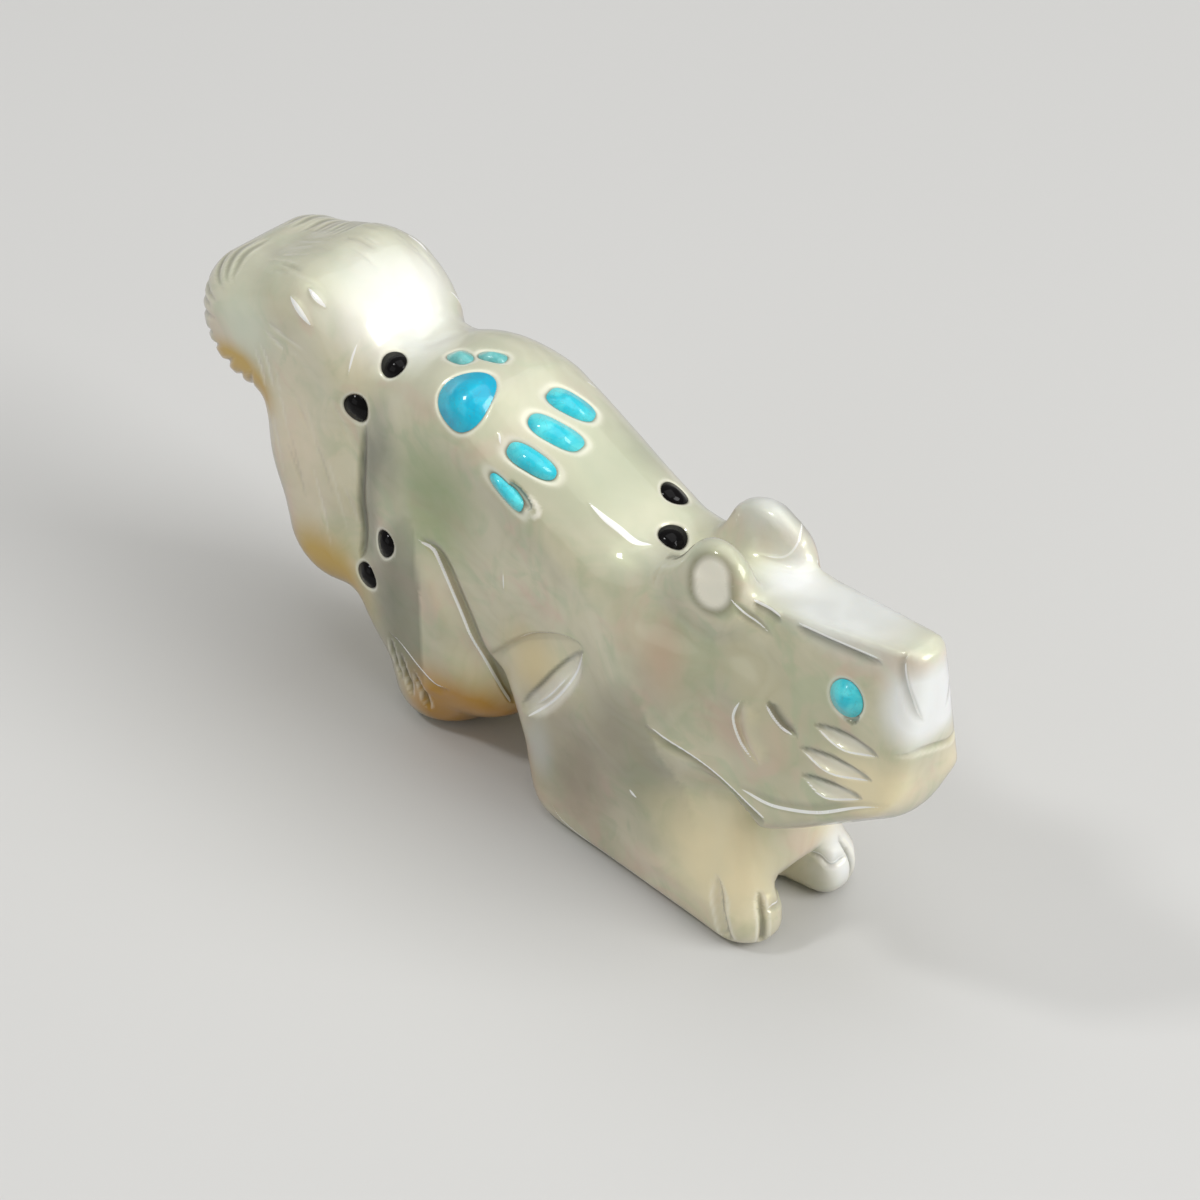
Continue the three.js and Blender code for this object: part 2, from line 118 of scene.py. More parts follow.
def thicken(outline, side, sizes):
    """Distance to a slab with an outline of the side view and rounded edges."""
    half, edge = sizes
    a, b = outline + edge, side - half + edge
    return np.minimum(np.maximum(a, b), 0) + np.hypot(np.maximum(a, 0), np.maximum(b, 0)) - edge


def haunch(x, side, z):
    outline = smooth_min(limb(x, z, HIP, KNEE), limb(x, z, HIP, HIND_FOOT), 1.5)
    return thicken(smooth_min(outline, limb(x, z, KNEE, HIND_FOOT), 1.5), side, HAUNCH)


def foreleg(x, side, z):
    outline = smooth_min(limb(x, z, SHOULDER, ELBOW), limb(x, z, ELBOW, PAW), 2)
    outline = smooth_min(outline, limb(x, z, FOREARM, PAW), 1)
    outline = np.minimum(outline, limb(x, z, BREAST, PAW))
    forward = np.clip((x - LEAN_START) / LEAN_LENGTH, 0, 1)
    lean = LEAN * np.maximum(z - ELBOW[1], 0) * forward * forward * (3 - 2 * forward)
    notch = np.maximum(side - NOTCH_HALF - NOTCH_FLARE * (x - NOTCH_BACK), NOTCH_BACK - x)
    notch = np.maximum(notch, z - NOTCH_TOP)
    return smooth_max(thicken(outline, side + lean, ARM), -notch, 1)


def tail(x, side, z):
    outline = smooth_min(limb(x, z, TAIL_ROOT, TAIL_WAIST), limb(x, z, TAIL_WAIST, TAIL_CREST), 1.2)
    return thicken(smooth_min(outline, limb(x, z, TAIL_CREST, TAIL_TIP), 1.2), side, TAIL)


def head(x, side, z):
    crown = (z - CROWN - CROWN_RISE * (x - 27)) / math.hypot(1, CROWN_RISE)
    cheek = (side - FACE_HALF + FACE_TAPER * (x - 30) - FACE_FLARE * (CROWN - z)) / math.hypot(1, FACE_FLARE)
    jaw = (JAW_FRONT - z + JAW_RISE * (x - NOSE)) / math.hypot(1, JAW_RISE)
    underside = (UNDERSIDE - z - UNDERSIDE_FALL * (x - 31.4)) / math.hypot(1, UNDERSIDE_FALL)
    jaw_edge = 0.45 * cheek + 0.9 * jaw + 1.2
    d = smooth_max(smooth_max(cheek, crown, 0.6), jaw, 1.6)
    d = smooth_max(d, jaw_edge, 0.4)
    d = smooth_max(smooth_max(d, underside, 0.6), x - NOSE, 1.6)
    return smooth_max(d, HEAD_BACK - x, 3)


def ear(x, y, z):
    """The ear on the right flank is a little smaller than the other."""
    side, middle, reach = np.abs(y), np.where(y < 0, 25.3, 24.9), np.where(y < 0, 2.8, 3.4)
    a, b, c = (x - middle) / reach, (side - EAR_SIDE) / EAR_HALF, (z - EAR_HEIGHT) / EAR_REACH_UP
    q = np.sqrt(a**2 + b**2 + c**2)
    return smooth_max((q - 1) * EAR_HALF, EAR_PARTING - side, 0.6)


def ear_root(x, side, z):
    """The neck rises to the ears from behind, along a limb that grows on its way."""
    start_x, start_side, start_z = EAR_ROOT
    dx, dz = EAR_ROOT_RUN
    along = np.clip(((x - start_x) * dx + (z - start_z) * dz) / (dx * dx + dz * dz), 0, 1)
    gap_x, gap_side, gap_z = x - start_x - dx * along, side - start_side, z - start_z - dz * along
    return np.sqrt(gap_x**2 + gap_side**2 + gap_z**2) - EAR_ROOT_RADIUS - EAR_ROOT_GROWTH * along


def boss(x, side, z):
    """Fills the valley between tail and rump, where the first pair of dots is set."""
    return np.sqrt((x - BOSS[0]) ** 2 + (side - BOSS[1]) ** 2 + (z - BOSS[2]) ** 2) - BOSS_RADIUS


def carving(p):
    """Distance of points to the smooth carving, before any stroke. Each form joins the others over a
    blend, the last number, and the soles are cut flat at z = 0."""
    x, side, z = p[..., 0], np.abs(p[..., 1]), p[..., 2]
    d = smooth_min(thicken(limb(x, z, RUMP, CHEST), side, BODY), haunch(x, side, z), 1.5)
    d = smooth_min(d, foreleg(x, side, z), 1.2)
    d = smooth_min(d, thicken(limb(x, z, THROAT, JOWL), side, NECK), 2)
    d = smooth_min(d, head(x, side, z), 1)
    d = smooth_min(d, ear_root(x, side, z), 2.4)
    d = smooth_min(d, ear(x, p[..., 1], z), 0.8)
    d = smooth_min(d, tail(x, side, z), 2)
    d = smooth_min(d, boss(x, side, z), 2)
    return smooth_max(d, -z, 1.2)


def slope(p):
    """How the distance grows along x, y and z: it points out of the shell."""
    step = 0.04
    return np.stack([carving(p + s) - carving(p - s) for s in np.eye(3) * step], -1) / (2 * step)


def outward(p):
    g = slope(p)
    return g / np.maximum(np.linalg.norm(g, axis=-1, keepdims=True), 1e-6)


def settle(p, rounds=4):
    """Moves points to the nearest place on the surface."""
    for _ in range(rounds):
        g = slope(p)
        p = p - g * (carving(p) / np.maximum((g * g).sum(-1), 0.2))[..., None]
    return p


# -------------------------------------------------------------------------------------------- strokes
SPACING = 0.12  # between the points of a stroke's path
MARGIN = 0.4  # how far beyond its width a stroke is looked for
# The lighter edges are painted highlights and the darker ones painted shade; a bright line is a painted
# highlight, nearly white.
EDGE_WIDTH = 0.13  # of the lighter or darker edges
LINE_EDGE, LINE_FALL = 0.7, 0.3  # shine at a bright line's edge, and the distance over which it falls by 1
BATCH = 4000  # points that are worked on at a time

# Which flanks a stroke is on. A line over the middle is drawn once, as one on the left.
RIGHT, LEFT, BOTH = (-1,), (1,), (-1, 1)


# Profiles of a stroke: its depth from the middle, where a is 0, to the edge, where a is 1
def cut_v(a):
    return np.clip(1 - a, 0, 1) ** 1.15


def hollow(a):
    return np.clip(1 - a * a, 0, 1)


def soft(a):
    return np.clip(1 - a * a, 0, 1) ** 2


def roof(a):
    return np.clip(1.06 - np.sqrt(a * a + 0.012), 0, 1) * np.clip(1 - a, 0, 1) ** 0.25


def curve_through(points):
    """A smooth curve through points."""
    padded = np.vstack([2 * points[0] - points[1], points, 2 * points[-1] - points[-2]])
    parts = []
    for a, b, c, d in zip(padded, padded[1:], padded[2:], padded[3:]):
        count = max(3, int(np.linalg.norm(c - b) / SPACING))
        t = (np.arange(count) / count)[:, None]
        bend = (2 * a - 5 * b + 4 * c - d) * t**2 + (3 * b - a - 3 * c + d) * t**3
        parts.append(0.5 * (2 * b + (c - a) * t + bend))
    return np.vstack([*parts, points[-1:]])


class Stroke:
    """A stroke along a line on the shell. Its width counts to either side of the line: one number, or a pair
    for the left and right of the line as it runs, seen from outside on the right flank. A negative depth
    raises the shell. It fades at its two ends over those shares of its length. Its edges and its inside are
    painted lighter than the shell around, as painted highlights and painted light, or darker where negative,
    as painted shade in the cut. A polish is the width of a painted highlight along it: a nearly white line on
    the polished edge."""

    def __init__(self, line, widths, depth, profile, ends, flank, edges=0.0, inside=0.0, polish=0.0):
        points = np.array(line, float)
        points[:, 1] *= flank
        pair = widths if isinstance(widths, tuple) else (widths, widths)
        self.widths = np.array(pair if flank < 0 else pair[::-1], float)
        self.depth, self.profile, self.edges, self.inside, self.polish = depth, profile, edges, inside, polish
        self.path = settle(curve_through(points), 5)
        tangent = np.gradient(self.path, axis=0)
        tangent /= np.maximum(np.linalg.norm(tangent, axis=1, keepdims=True), 1e-9)
        self.normal = outward(self.path)
        self.tangent, self.left = tangent, np.cross(self.normal, tangent)
        t = np.linspace(0, 1, len(self.path))
        start, end = (np.clip(s / e, 0, 1) if e else np.ones_like(t) for s, e in zip((t, 1 - t), ends))
        self.fade = np.sin(start * math.pi / 2) ** 0.8 * np.sin(end * math.pi / 2) ** 0.8

    def press(self, points, normals):
        """Which points it reaches, how deep it takes them, how much lighter it paints each as painted light
        or highlight, or darker as painted shade, and its painted highlight line: LINE_EDGE at the line's
        edge, more inside and less outside."""
        reach = self.widths.max() + MARGIN
        low, high = self.path.min(0) - reach, self.path.max(0) + reach
        near = np.flatnonzero(np.all((points > low) & (points < high), axis=1))
        deep, tone, shine = np.zeros((3, len(near)))
        for first in range(0, len(near), BATCH):
            some = slice(first, first + BATCH)
            gap = points[near[some], None] - self.path[None]
            closest = (gap * gap).sum(2).argmin(1)
            gap = gap[np.arange(len(gap)), closest]
            height = (gap * self.normal[closest]).sum(1)
            sideways = (gap * self.left[closest]).sum(1)
            beyond = np.maximum(np.abs((gap * self.tangent[closest]).sum(1)) - 0.1, 0)
            across, is_left = np.hypot(sideways, beyond), sideways > 0
            fade = self.fade[closest]
            width = np.where(is_left, self.widths[0], self.widths[1]) * np.maximum(fade, 1e-3) ** 0.8
            here = ((normals[near[some]] * self.normal[closest]).sum(1) > 0.3) & (np.abs(height) < reach)
            form = self.profile(across / width)
            deep[some] = np.where(here, form * self.depth * fade, 0)
            edge = np.exp(-(((across - width) / EDGE_WIDTH) ** 2)) * self.edges * fade
            tone[some] = np.where(here, edge + np.minimum(form * 1.6, 1) * self.inside * fade, 0)
            if self.polish:
                half = self.polish / 2 * fade - 0.03 * (1 - fade)
                shine[some] = np.where(here, np.clip(LINE_EDGE + (half - across) / LINE_FALL, 0, 1), 0)
        return near, deep, tone, shine


def cut(line, widths, depth, profile=cut_v, ends=(0.5, 0.5), flanks=BOTH, **tones):
    """The same stroke on the flanks. A line's points are x, y and z on the left flank's side."""
    return [Stroke(line, widths, depth, profile, ends, flank, **tones) for flank in flanks]


def painted_shading(line, widths, tone, ends=(0.5, 0.5), profile=soft, flanks=BOTH):
    """Painted light on a plane along a line, with no depth, and painted shade where the tone is below 0."""
    return cut(line, widths, 0.0, profile, ends, flanks, inside=tone)


def gleam(line, width=0.15, ends=(0.3, 0.3), raised=0.05, flanks=BOTH):
    """A fine polished edge, a little proud and smoother, with a painted highlight that makes it nearly white.
    """
    return cut(line, width + 0.15, -raised, soft, ends, flanks, polish=width)


def shifted(line, x=0.0, z=0.0):
    return [(a + x, b, c + z) for a, b, c in line]


def bowed(line, rise):
    """The line with its middle moved up or down and its ends kept."""
    return [line[0], *shifted(line[1:-1], 0, rise), line[-1]]


def on_flank(*points):
    return [(x, 5.5, z) for x, z in points]


HAUNCH_EDGE = [
    (2.05, 5.2, 16.7), (3.8, 5.2, 16), (5.3, 5.2, 13.6), (6.6, 5.1, 11), (7.7, 4.2, 7.7), (8.3, 3.4, 5.4),
]
TAIL_SEAM = on_flank((-3.6, 22.8), (-3.85, 20.4), (-4.2, 16), (-4.35, 11.2))
FLANK_ARC = on_flank(
    (7.5, 9.7), (8.6, 11.1), (10.1, 12.9), (11.8, 14.5), (14.1, 16.0), (15.9, 16.7), (16.7, 16.6),
)
CHEEK = [(29.3, 4.2, 19.7), (28.8, 4.4, 18), (29.5, 4.5, 16.5), (30.8, 4.4, 15.6)]
CHEEK_FRONT = [(30.6, 3.7, 20.1), (31.2, 3.7, 19.4), (32, 3.6, 18.8), (32.9, 3.5, 18.6)]
EAR_DISH = [(26, 4, 26.1), (25.9, 3.9, 26.35), (25.8, 3.8, 26.6)]


def relief():
    """The broad soft planes that the polish leaves on the haunch, the arm and the back."""
    haunch_ridge = on_flank((0.8, 19), (1.5, 16), (1.7, 12), (1.7, 7.3), (2.4, 3.8))
    arm_ridge = [(18.5, 4.9, 21.3), (20.4, 5.4, 16.4), (20.6, 5.4, 10.6), (23, 5, 6), (26.9, 5, 3.6)]
    back_ridge = on_flank((2.1, 27.1), (5.9, 27), (9.6, 25.3), (14, 23.6))
    return [
        *cut(haunch_ridge, (5.4, 4.6), -0.5, roof, (0.3, 0.2)),
        *cut(arm_ridge, 4.6, -0.4, roof, (0.3, 0.2)),
        *cut(back_ridge, 2.4, -0.15, roof),
    ]


RELIEF = relief()


def painted_planes():
    """Painted shade and painted light on broad planes: painted shade on the back part of the haunch and on
    the side of the arm, painted light on the plane beside the haunch's edge, painted shade and painted light
    on the two sides of the tail's seam, and painted light in the cheek and below the flank's arc.
    """
    haunch_shade_line = on_flank((1.2, 18), (1.45, 15.5), (1.6, 12), (1.7, 8.5), (1.8, 5.4), (1.9, 3.2))
    arm_shade_line = [(20.6, 5.4, 17.5), (21.6, 5.4, 15.6), (23.2, 5.2, 11.6), (25, 4.3, 7.2), (26.6, 4.4, 4.4)]
    return [
        *painted_shading(haunch_shade_line, (0.4, 5), -0.9, (0.3, 0.1)),
        *painted_shading(HAUNCH_EDGE, (0.12, 3.6), 0.45, (0.1, 0.05)),
        *painted_shading(TAIL_SEAM, (2.6, 0.12), -0.8, (0.3, 0.2)),
        *painted_shading(TAIL_SEAM, (0.12, 3), 0.35, (0.3, 0.2)),
        *painted_shading(arm_shade_line, (0.6, 7), -0.5, (0.4, 0.2)),
        *painted_shading(CHEEK, (1.9, 0.12), 0.7, (0.1, 0.1)),
        *painted_shading(FLANK_ARC, (0.12, 3.2), 0.5, (0.05, 0.05), hollow),
    ]


def haunch_cuts():
    """The edge of the haunch, the seam of the tail, the instep and its toes, with painted shade in the cuts
    and painted highlights on their edges.
    """
    instep = on_flank((-1.3, 7.1), (0, 6.7), (1.7, 5.8), (3.2, 5.3), (4.5, 5.7))
    toes = (
        ((-1.2, 6.8), (-0.9, 4.9), (-0.5, 3.2)),
        ((-0.2, 6.2), (0.1, 4.6), (0.6, 2.6)),
        ((1, 5.4), (1.6, 3.9), (2, 2)),
    )
    strokes = [
        *cut(HAUNCH_EDGE, (0.9, 0.35), 0.4, ends=(0.1, 0.05), inside=-0.6),
        *gleam(shifted(HAUNCH_EDGE, -0.34), 0.14, (0.06, 0.05)),
        *cut(TAIL_SEAM, (0.7, 0.3), 0.32, ends=(0.35, 0.1), inside=-0.9),
        *cut(instep, (0.25, 0.8), 0.22, ends=(0.2, 0.3), inside=-0.2),
        *gleam(shifted(instep, 0, 0.22), 0.13),
    ]
    for line in toes:
        strokes += cut(on_flank(*line), (0.46, 0.34), 0.4, ends=(0.4, 0.3), edges=0.7, inside=-0.8)
    return strokes


def flank_cuts():
    """The hollow of the flank, and the lens before it, painted pale as painted light, with painted shade
    along its back and nearly white painted highlights on its polished ridges.
    """
    lens = on_flank((16.6, 16.4), (15.6, 13.9), (14, 11.2), (12.3, 9.1), (11.2, 8))
    back = on_flank((16.8, 16.5), (14.8, 14.2), (13.1, 11.6), (11, 8.4))
    front = on_flank((16.8, 16.5), (16.3, 15.1), (15.2, 12.6), (13.5, 10), (11.4, 7.6))
    ridge = on_flank((15.5, 13.8), (13.8, 11.1), (12.1, 8.9))
    return [
        *cut(FLANK_ARC, (0.3, 3.0), 0.42, ends=(0.2, 0.3)),
        *gleam(shifted(FLANK_ARC[2:], 0, 0.22), 0.07),
        *cut(lens, 0.95, 0.42, hollow, (0.45, 0.25), inside=0.85),
        *cut(back, 0.24, 0.16, ends=(0.1, 0.2), inside=-0.9),
        *gleam(front, 0.16, (0.15, 0.15), 0.08),
        *gleam(ridge, 0.1, (0.3, 0.3), 0.16),
    ]


def arm_cuts():
    """The fold between cheek and foreleg, the toes of the paws and the edge of the sole, with painted shade
    in the cuts, painted light on the toes' edges and nearly white painted highlights along polished edges.
    """
    fold = [(22.2, 5.4, 14), (25.6, 5.2, 13.4), (28, 5, 12.8), (30.1, 4.8, 12.1), (31.7, 4.7, 11.7)]
    side_toe = [(27.8, 4.8, 4.9), (28.6, 5.4, 2.8), (29.3, 5.4, 0.4)]
    front_toe = [(30, 3.4, 4.4), (31, 3.9, 2.6), (31, 3.9, 0.6)]
    knuckles = [(29.4, 1.6, 3.6), (30.2, 2, 3.5), (30.6, 2.5, 2.9), (31, 3.1, 3.1), (31.1, 3.7, 3.1)]
    sole_edge = [(13.2, 5, 2.6), (14.4, 5.2, 1.2), (17, 5.3, 0.75), (22, 5.3, 0.75), (27.4, 5.3, 0.75)]
    return [
        *cut(fold, (0.3, 0.75), 0.36, ends=(0.25, 0.1), inside=-0.6),
        *gleam(shifted(fold, 0, 0.36), 0.17, (0.2, 0.05)),
        *cut(side_toe, (0.75, 0.5), 0.5, ends=(0.4, 0.05), edges=0.7, inside=0.3),
        *cut(shifted(side_toe, 0.3), 0.25, 0.1, ends=(0.4, 0.1), inside=-0.9),
        *cut(front_toe, 0.4, 0.42, ends=(0.4, 0.1), edges=0.7, inside=-0.8),
        *cut(knuckles, (0.25, 0.7), 0.25, ends=(0.3, 0.3), inside=-0.3),
        *gleam(shifted(knuckles, 0, 0.2), 0.12),
        *gleam(sole_edge, 0.1, (0.2, 0.2), 0.02),
    ]


def back_cuts():
    """The open socket beside the fourth toe of the paw print, with painted shade in it and a paler rim, and
    small painted highlights: a streak along the shoulder's edge and a few short glints.
    """
    open_end = [(9.5, 4.7, 25.15), (10.7, 4.7, 24.65), (11.5, 4.8, 24.1)]
    open_rim = [(10.9, 4.5, 24.95), (11.9, 4.6, 24.45), (12.1, 4.7, 24), (11.5, 4.9, 23.6)]
    highlight_streak = [(14.2, 2.7, 25.3), (15.6, 2.6, 24.7), (16.8, 2.4, 24.3), (18.1, 2.2, 23.8), (18.9, 1.6, 23.6)]
    strokes = [
        *cut(open_end, 0.3, 0.3, hollow, (0.3, 0.1), RIGHT, inside=-2.0),
        *cut(open_rim, 0.26, -0.06, soft, (0.3, 0.3), RIGHT, inside=1.0),
        *gleam(highlight_streak, 0.42, (0.5, 0.3), 0.08, RIGHT),
    ]
    for line, width in (
        (on_flank((9.35, 18.6), (9.45, 16.4)), 0.1),
        ([(-5.2, 3.7, 27.6), (-5.1, 4.4, 26.6), (-5.1, 4.9, 25.2)], 0.14),
        ([(20.8, 5.2, 7.9), (21.5, 5.1, 7.4)], 0.2),
        ([(7.5, 3.6, 27.3), (8.1, 4, 26.7)], 0.14),
    ):
        strokes += gleam(line, width, (0.5, 0.5))
    return strokes


def face_cuts():
    """Whiskers, cheek, the edges of the crown, muzzle, mouth and jaw, and the pit under the eye. The whiskers
    are painted pale inside, with painted shade above and a painted highlight below; the cuts get painted
    shade, their polished edges nearly white painted highlights, and the pit under the eye a deep painted
    shade.
    """
    whiskers = (
        [(33.8, 3.2, 20), (36.1, 3, 20), (38.7, 2.8, 20.35)],
        [(33.1, 3.6, 18), (35.6, 3.4, 18.05), (38.6, 3.1, 18.6)],
        [(33.6, 3.8, 16.3), (35.6, 3.7, 16.3), (38.2, 3.4, 17.1)],
    )
    crown_edges = (
        [(28.3, 2.75, 25.7), (30.3, 2.4, 25.3)],
        [(31.3, 2.3, 25.55), (34, 2.1, 25.8), (37.9, 1.8, 26.3)],
    )
    muzzle = [(38.9, 1.2, 27.9), (39.2, 1.7, 26.5), (40, 1.5, 24.4), (40.3, 0.9, 22.9)]
    mouth = [(39.3, -2.4, 20.9), (40.2, -1.3, 20.9), (40.3, 0, 20.5), (40.2, 1.5, 20), (39.2, 2.4, 20)]
    jaw = [
        (29.2, 4.7, 13.15), (31.4, 4.6, 13.1), (33.2, 4.4, 13.6), (35.4, 4, 14.6), (37.8, 3.6, 16.3),
        (39.9, 2.8, 17.5),
    ]
    pit = [(35.7, 2.7, 21.55), (36.35, 2.7, 21.7), (36.85, 2.6, 22.2)]
    strokes = []
    for line in whiskers:
        strokes += cut(line, (0.52, 0.5), 0.26, hollow, (0.5, 0.45), inside=0.75)
        strokes += cut(bowed(line, 0.58), 0.26, 0.16, ends=(0.15, 0.15), inside=-1.1)
        strokes += gleam(bowed(line, -0.5), 0.1, (0.2, 0.2), 0.06)
    for line in crown_edges:
        strokes += cut(line, (0.28, 0.5), 0.22, ends=(0.15, 0.25), inside=-0.6)
        strokes += gleam(shifted(line, 0, 0.3), 0.16, (0.15, 0.25))
    return strokes + [
        *cut(CHEEK, (0.7, 0.3), 0.25, ends=(0.3, 0.4)),
        *gleam(shifted(CHEEK, -0.25), 0.14, (0.2, 0.3)),
        *cut(CHEEK_FRONT, (0.7, 0.3), 0.25, ends=(0.2, 0.3), inside=-0.8),
        *gleam(shifted(CHEEK_FRONT, -0.2, -0.1), 0.12, (0.2, 0.3)),
        *cut(muzzle, (0.3, 0.6), 0.12, ends=(0.3, 0.3), inside=-0.4),
        *gleam(shifted(muzzle, 0.15), 0.12),
        *cut(mouth, 0.32, 0.26, ends=(0.5, 0.2), flanks=LEFT, edges=0.5, inside=-0.25),
        *cut(jaw, (0.8, 0.3), 0.12, soft, (0.2, 0.4), inside=-0.3),
        *gleam(jaw, 0.2, (0.15, 0.4), 0.08),
        *cut(pit, 0.34, 0.3, flanks=RIGHT, inside=-2.2),
    ]


def ear_cuts():
    """The dish in each ear, painted pale as painted light inside a ring of painted shade, the crease under
    the near one with painted shade and a painted highlight, painted light on the near ear's front, and the
    far ear's rim as a painted highlight.
    """
    crease = [(27.1, 3.7, 26.1), (27.8, 3.5, 25.4), (28.4, 3.1, 24.7), (29.2, 2.8, 24.3), (29.9, 2.8, 24.1)]
    front = [(27.5, 2.1, 27), (28, 2.9, 25.9), (28.5, 2.9, 24.9)]
    far_rim = [(26.3, 3.2, 27.5), (27.1, 2.4, 27.4), (27.3, 1.7, 26.7), (26.7, 1.4, 25.9), (25.2, 1.1, 25.2)]
    return [
        *cut(EAR_DISH, 2.15, 0.05, soft, (0, 0), inside=-1.3),
        *cut(EAR_DISH, 1.42, 0.26, hollow, (0, 0), inside=1.2),
        *cut(crease, 0.5, 0.1, soft, flanks=RIGHT, inside=-0.6),
        *gleam(crease, 0.13, (0.3, 0.4), flanks=RIGHT),
        *painted_shading(front, 0.6, 0.35, flanks=RIGHT),
        *gleam(far_rim, 0.12, (0.2, 0.4), flanks=LEFT),
    ]


CURL = (-12.2, 25.2)  # x and z of the middle of the tail's curl
HAIR, HAIR_ENDS = (0.16, 0.24), (0.6, 0.6)


def around_curl(r, y, angle):
    return CURL[0] + r * math.cos(angle), y, CURL[1] + r * math.sin(angle)


def rim_distance(angle):
    """How far the edge of the tail is from the middle of its curl, at an angle in the side view."""
    r = np.linspace(0.5, 14, 300)
    return r[np.argmax(tail(*around_curl(r, 0 * r, angle)) > 0)]


def tail_notches(chance):
    """Notches in the rolled rim, from the crest round to the tip, with painted shade in them and paler edges.
    The first ones, on the crest, are faint and on the far flank alone."""
    strokes = []
    for degrees in np.arange(94, 264, 9.5):
        angle = math.radians(degrees + chance.uniform(-3, 3))
        rim = rim_distance(angle)
        length = 1.2 + 2.4 * min(max((degrees - 155) / 30, 0), 1) * chance.uniform(0.75, 1.2)
        places = ((rim - length, 5.5), (rim - length / 2, 5.3), (rim - 0.4, 4.5), (rim, 3), (rim, 0.6))
        line = [around_curl(r, y, angle) for r, y in places]
        depth = chance.uniform(0.32, 0.48) * min(max((degrees - 150) / 45, 0.2), 1)
        flanks = BOTH if degrees > 150 else LEFT
        strokes += cut(line, (0.36, 0.5), depth, ends=(0.5, 0.4), flanks=flanks, edges=0.4, inside=-0.5)
    return strokes


def crest_height(x):
    return 29.8 - 0.35 * max(x + 9, 0) ** 1.2 - 0.3 * max(-13 - x, 0) ** 1.3


def crest_hair(chance):
    """Fine hair that runs back over the crest."""
    strokes = []
    for y in np.arange(-4.5, 4.8, 0.46):
        start, length = chance.uniform(-17, -9.5), chance.uniform(2.5, 6)
        slant = chance.uniform(-0.4, 0.9)
        xs = np.linspace(start, min(start + length, -4.6), 6)
        line = [(x, y + slant * (x - start) / 6, crest_height(x)) for x in xs]
        tone = chance.uniform(-0.35, 0.5)
        strokes += cut(line, HAIR, chance.uniform(0.04, 0.12), ends=HAIR_ENDS, flanks=LEFT, inside=tone)
    return strokes


def side_hair(chance):
    """Fine hair that runs up the sides of the tail."""
    strokes = []
    for middle in np.arange(-13.9, -6, 0.6):
        x = middle + chance.uniform(-0.2, 0.2)
        top, length = chance.uniform(17, 24.5), chance.uniform(3, 8)
        bottom, lean = max(top - length, 9.5), (x + 14) * 0.12
        line = on_flank((x, top), (x + 0.3 + lean, (top + bottom) / 2), (x + 1 + lean, bottom))
        tone = chance.uniform(-0.25, 0.4)
        strokes += cut(line, HAIR, chance.uniform(0.03, 0.1), ends=HAIR_ENDS, inside=tone)
    return strokes


def tail_cuts():
    """The notches and hair of the tail, a few bolder pale hairs and two painted glints, a little proud, on
    the crest.
    """
    chance = np.random.default_rng(7)
    strokes = tail_notches(chance) + crest_hair(chance) + side_hair(chance)
    for line in (
        ((-12.8, 26.2), (-10.4, 25.9), (-8.2, 25.9)),
        ((-12.7, 25.4), (-10.8, 24.9), (-9.2, 25)),
        ((-13, 24.4), (-12.2, 22.6), (-11.9, 20.6)),
        ((-13.6, 23.6), (-12.9, 21.8), (-12.7, 20.2)),
    ):
        strokes += cut(on_flank(*line), (0.12, 0.3), 0.12, ends=(0.4, 0.5), inside=0.6)
    strokes += gleam([(-10.4, 5, 28.9), (-9.2, 5.1, 28.4), (-7.9, 5.2, 27.8)], 0.4, (0.5, 0.5), 0.12)
    strokes += gleam([(-9.4, 4.2, 29.6), (-8.5, 4.3, 29.3), (-7.5, 4.3, 29)], 0.34, (0.5, 0.5), 0.1)
    return strokes


# --------------------------------------------------------------------------------------------- inlays
LONG = 1.3  # length over width from which a stone is a long one
USUAL_RISE = 0.22  # of a stone's dome
EDGE_HEIGHT, EDGE_DROP, EDGE_SHARE = 0.07, 0.09, 0.2  # of a stone's rounded edge: its share of the radius
STONE_DEPTH = 0.75

EYE = dict(turn=0, length=2.35, width=2.35, rise=0.5)
DOT = dict(turn=0, length=1.8, width=1.8, rough=0.06, rise=0.15)

# Of each inlay: its stone, its place on the shell, and its shape, which is its turn in degrees, length and
# width, and where they aren't the usual ones the rise of its dome, how rough its outline is and how much
# its three corners stand out. Their order sets how each outline wobbles.
INLAYS = {
    "paw_palm": ("deep", (4.4, -3.6, 28.1), dict(turn=87, length=4.0, width=3.7, corners=0.07, rise=0.3)),
    "eye_right": ("pale", (35.7, -2.54, 22.85), EYE),
    "eye_left": ("pale", (35.7, 2.54, 22.85), EYE),
    "paw_toe_1": ("pale", (8.9, 1.15, 27.6), dict(turn=23, length=3.3, width=1.6)),
    "paw_toe_2": ("pale", (9.9, -1.1, 27.2), dict(turn=20, length=3.6, width=1.7)),
    "paw_toe_3": ("pale", (10.15, -3.45, 26.4), dict(turn=3, length=3.4, width=1.4)),
    "paw_toe_4": ("pale", (9.6, -5, 24.5), dict(turn=-21, length=3.0, width=0.95)),
    "paw_pad_1": ("clouded", (1.5, -1.3, 28.6), dict(turn=-8, length=2, width=1.2)),
    "paw_pad_2": ("clouded", (3.2, -0.1, 28.9), dict(turn=20, length=1.8, width=1)),
    "jet_dot_1": ("jet", (-2.8, -2.75, 26.1), DOT),
    "jet_dot_2": ("jet", (-4.5, -4.8, 23.1), DOT),
    "jet_dot_3": ("jet", (-1.5, -5.4, 14.2), DOT),
    "jet_dot_4": ("jet", (-3.5, -5.4, 10.4), DOT),
    "jet_dot_5": ("jet", (-1.5, 5.4, 14.2), DOT),
    "jet_dot_6": ("jet", (-3.5, 5.4, 10.4), DOT),
    "jet_dot_7": ("jet", (16.55, 2.5, 24.3), DOT),
    "jet_dot_8": ("jet", (18.9, 0, 23.6), DOT),
}


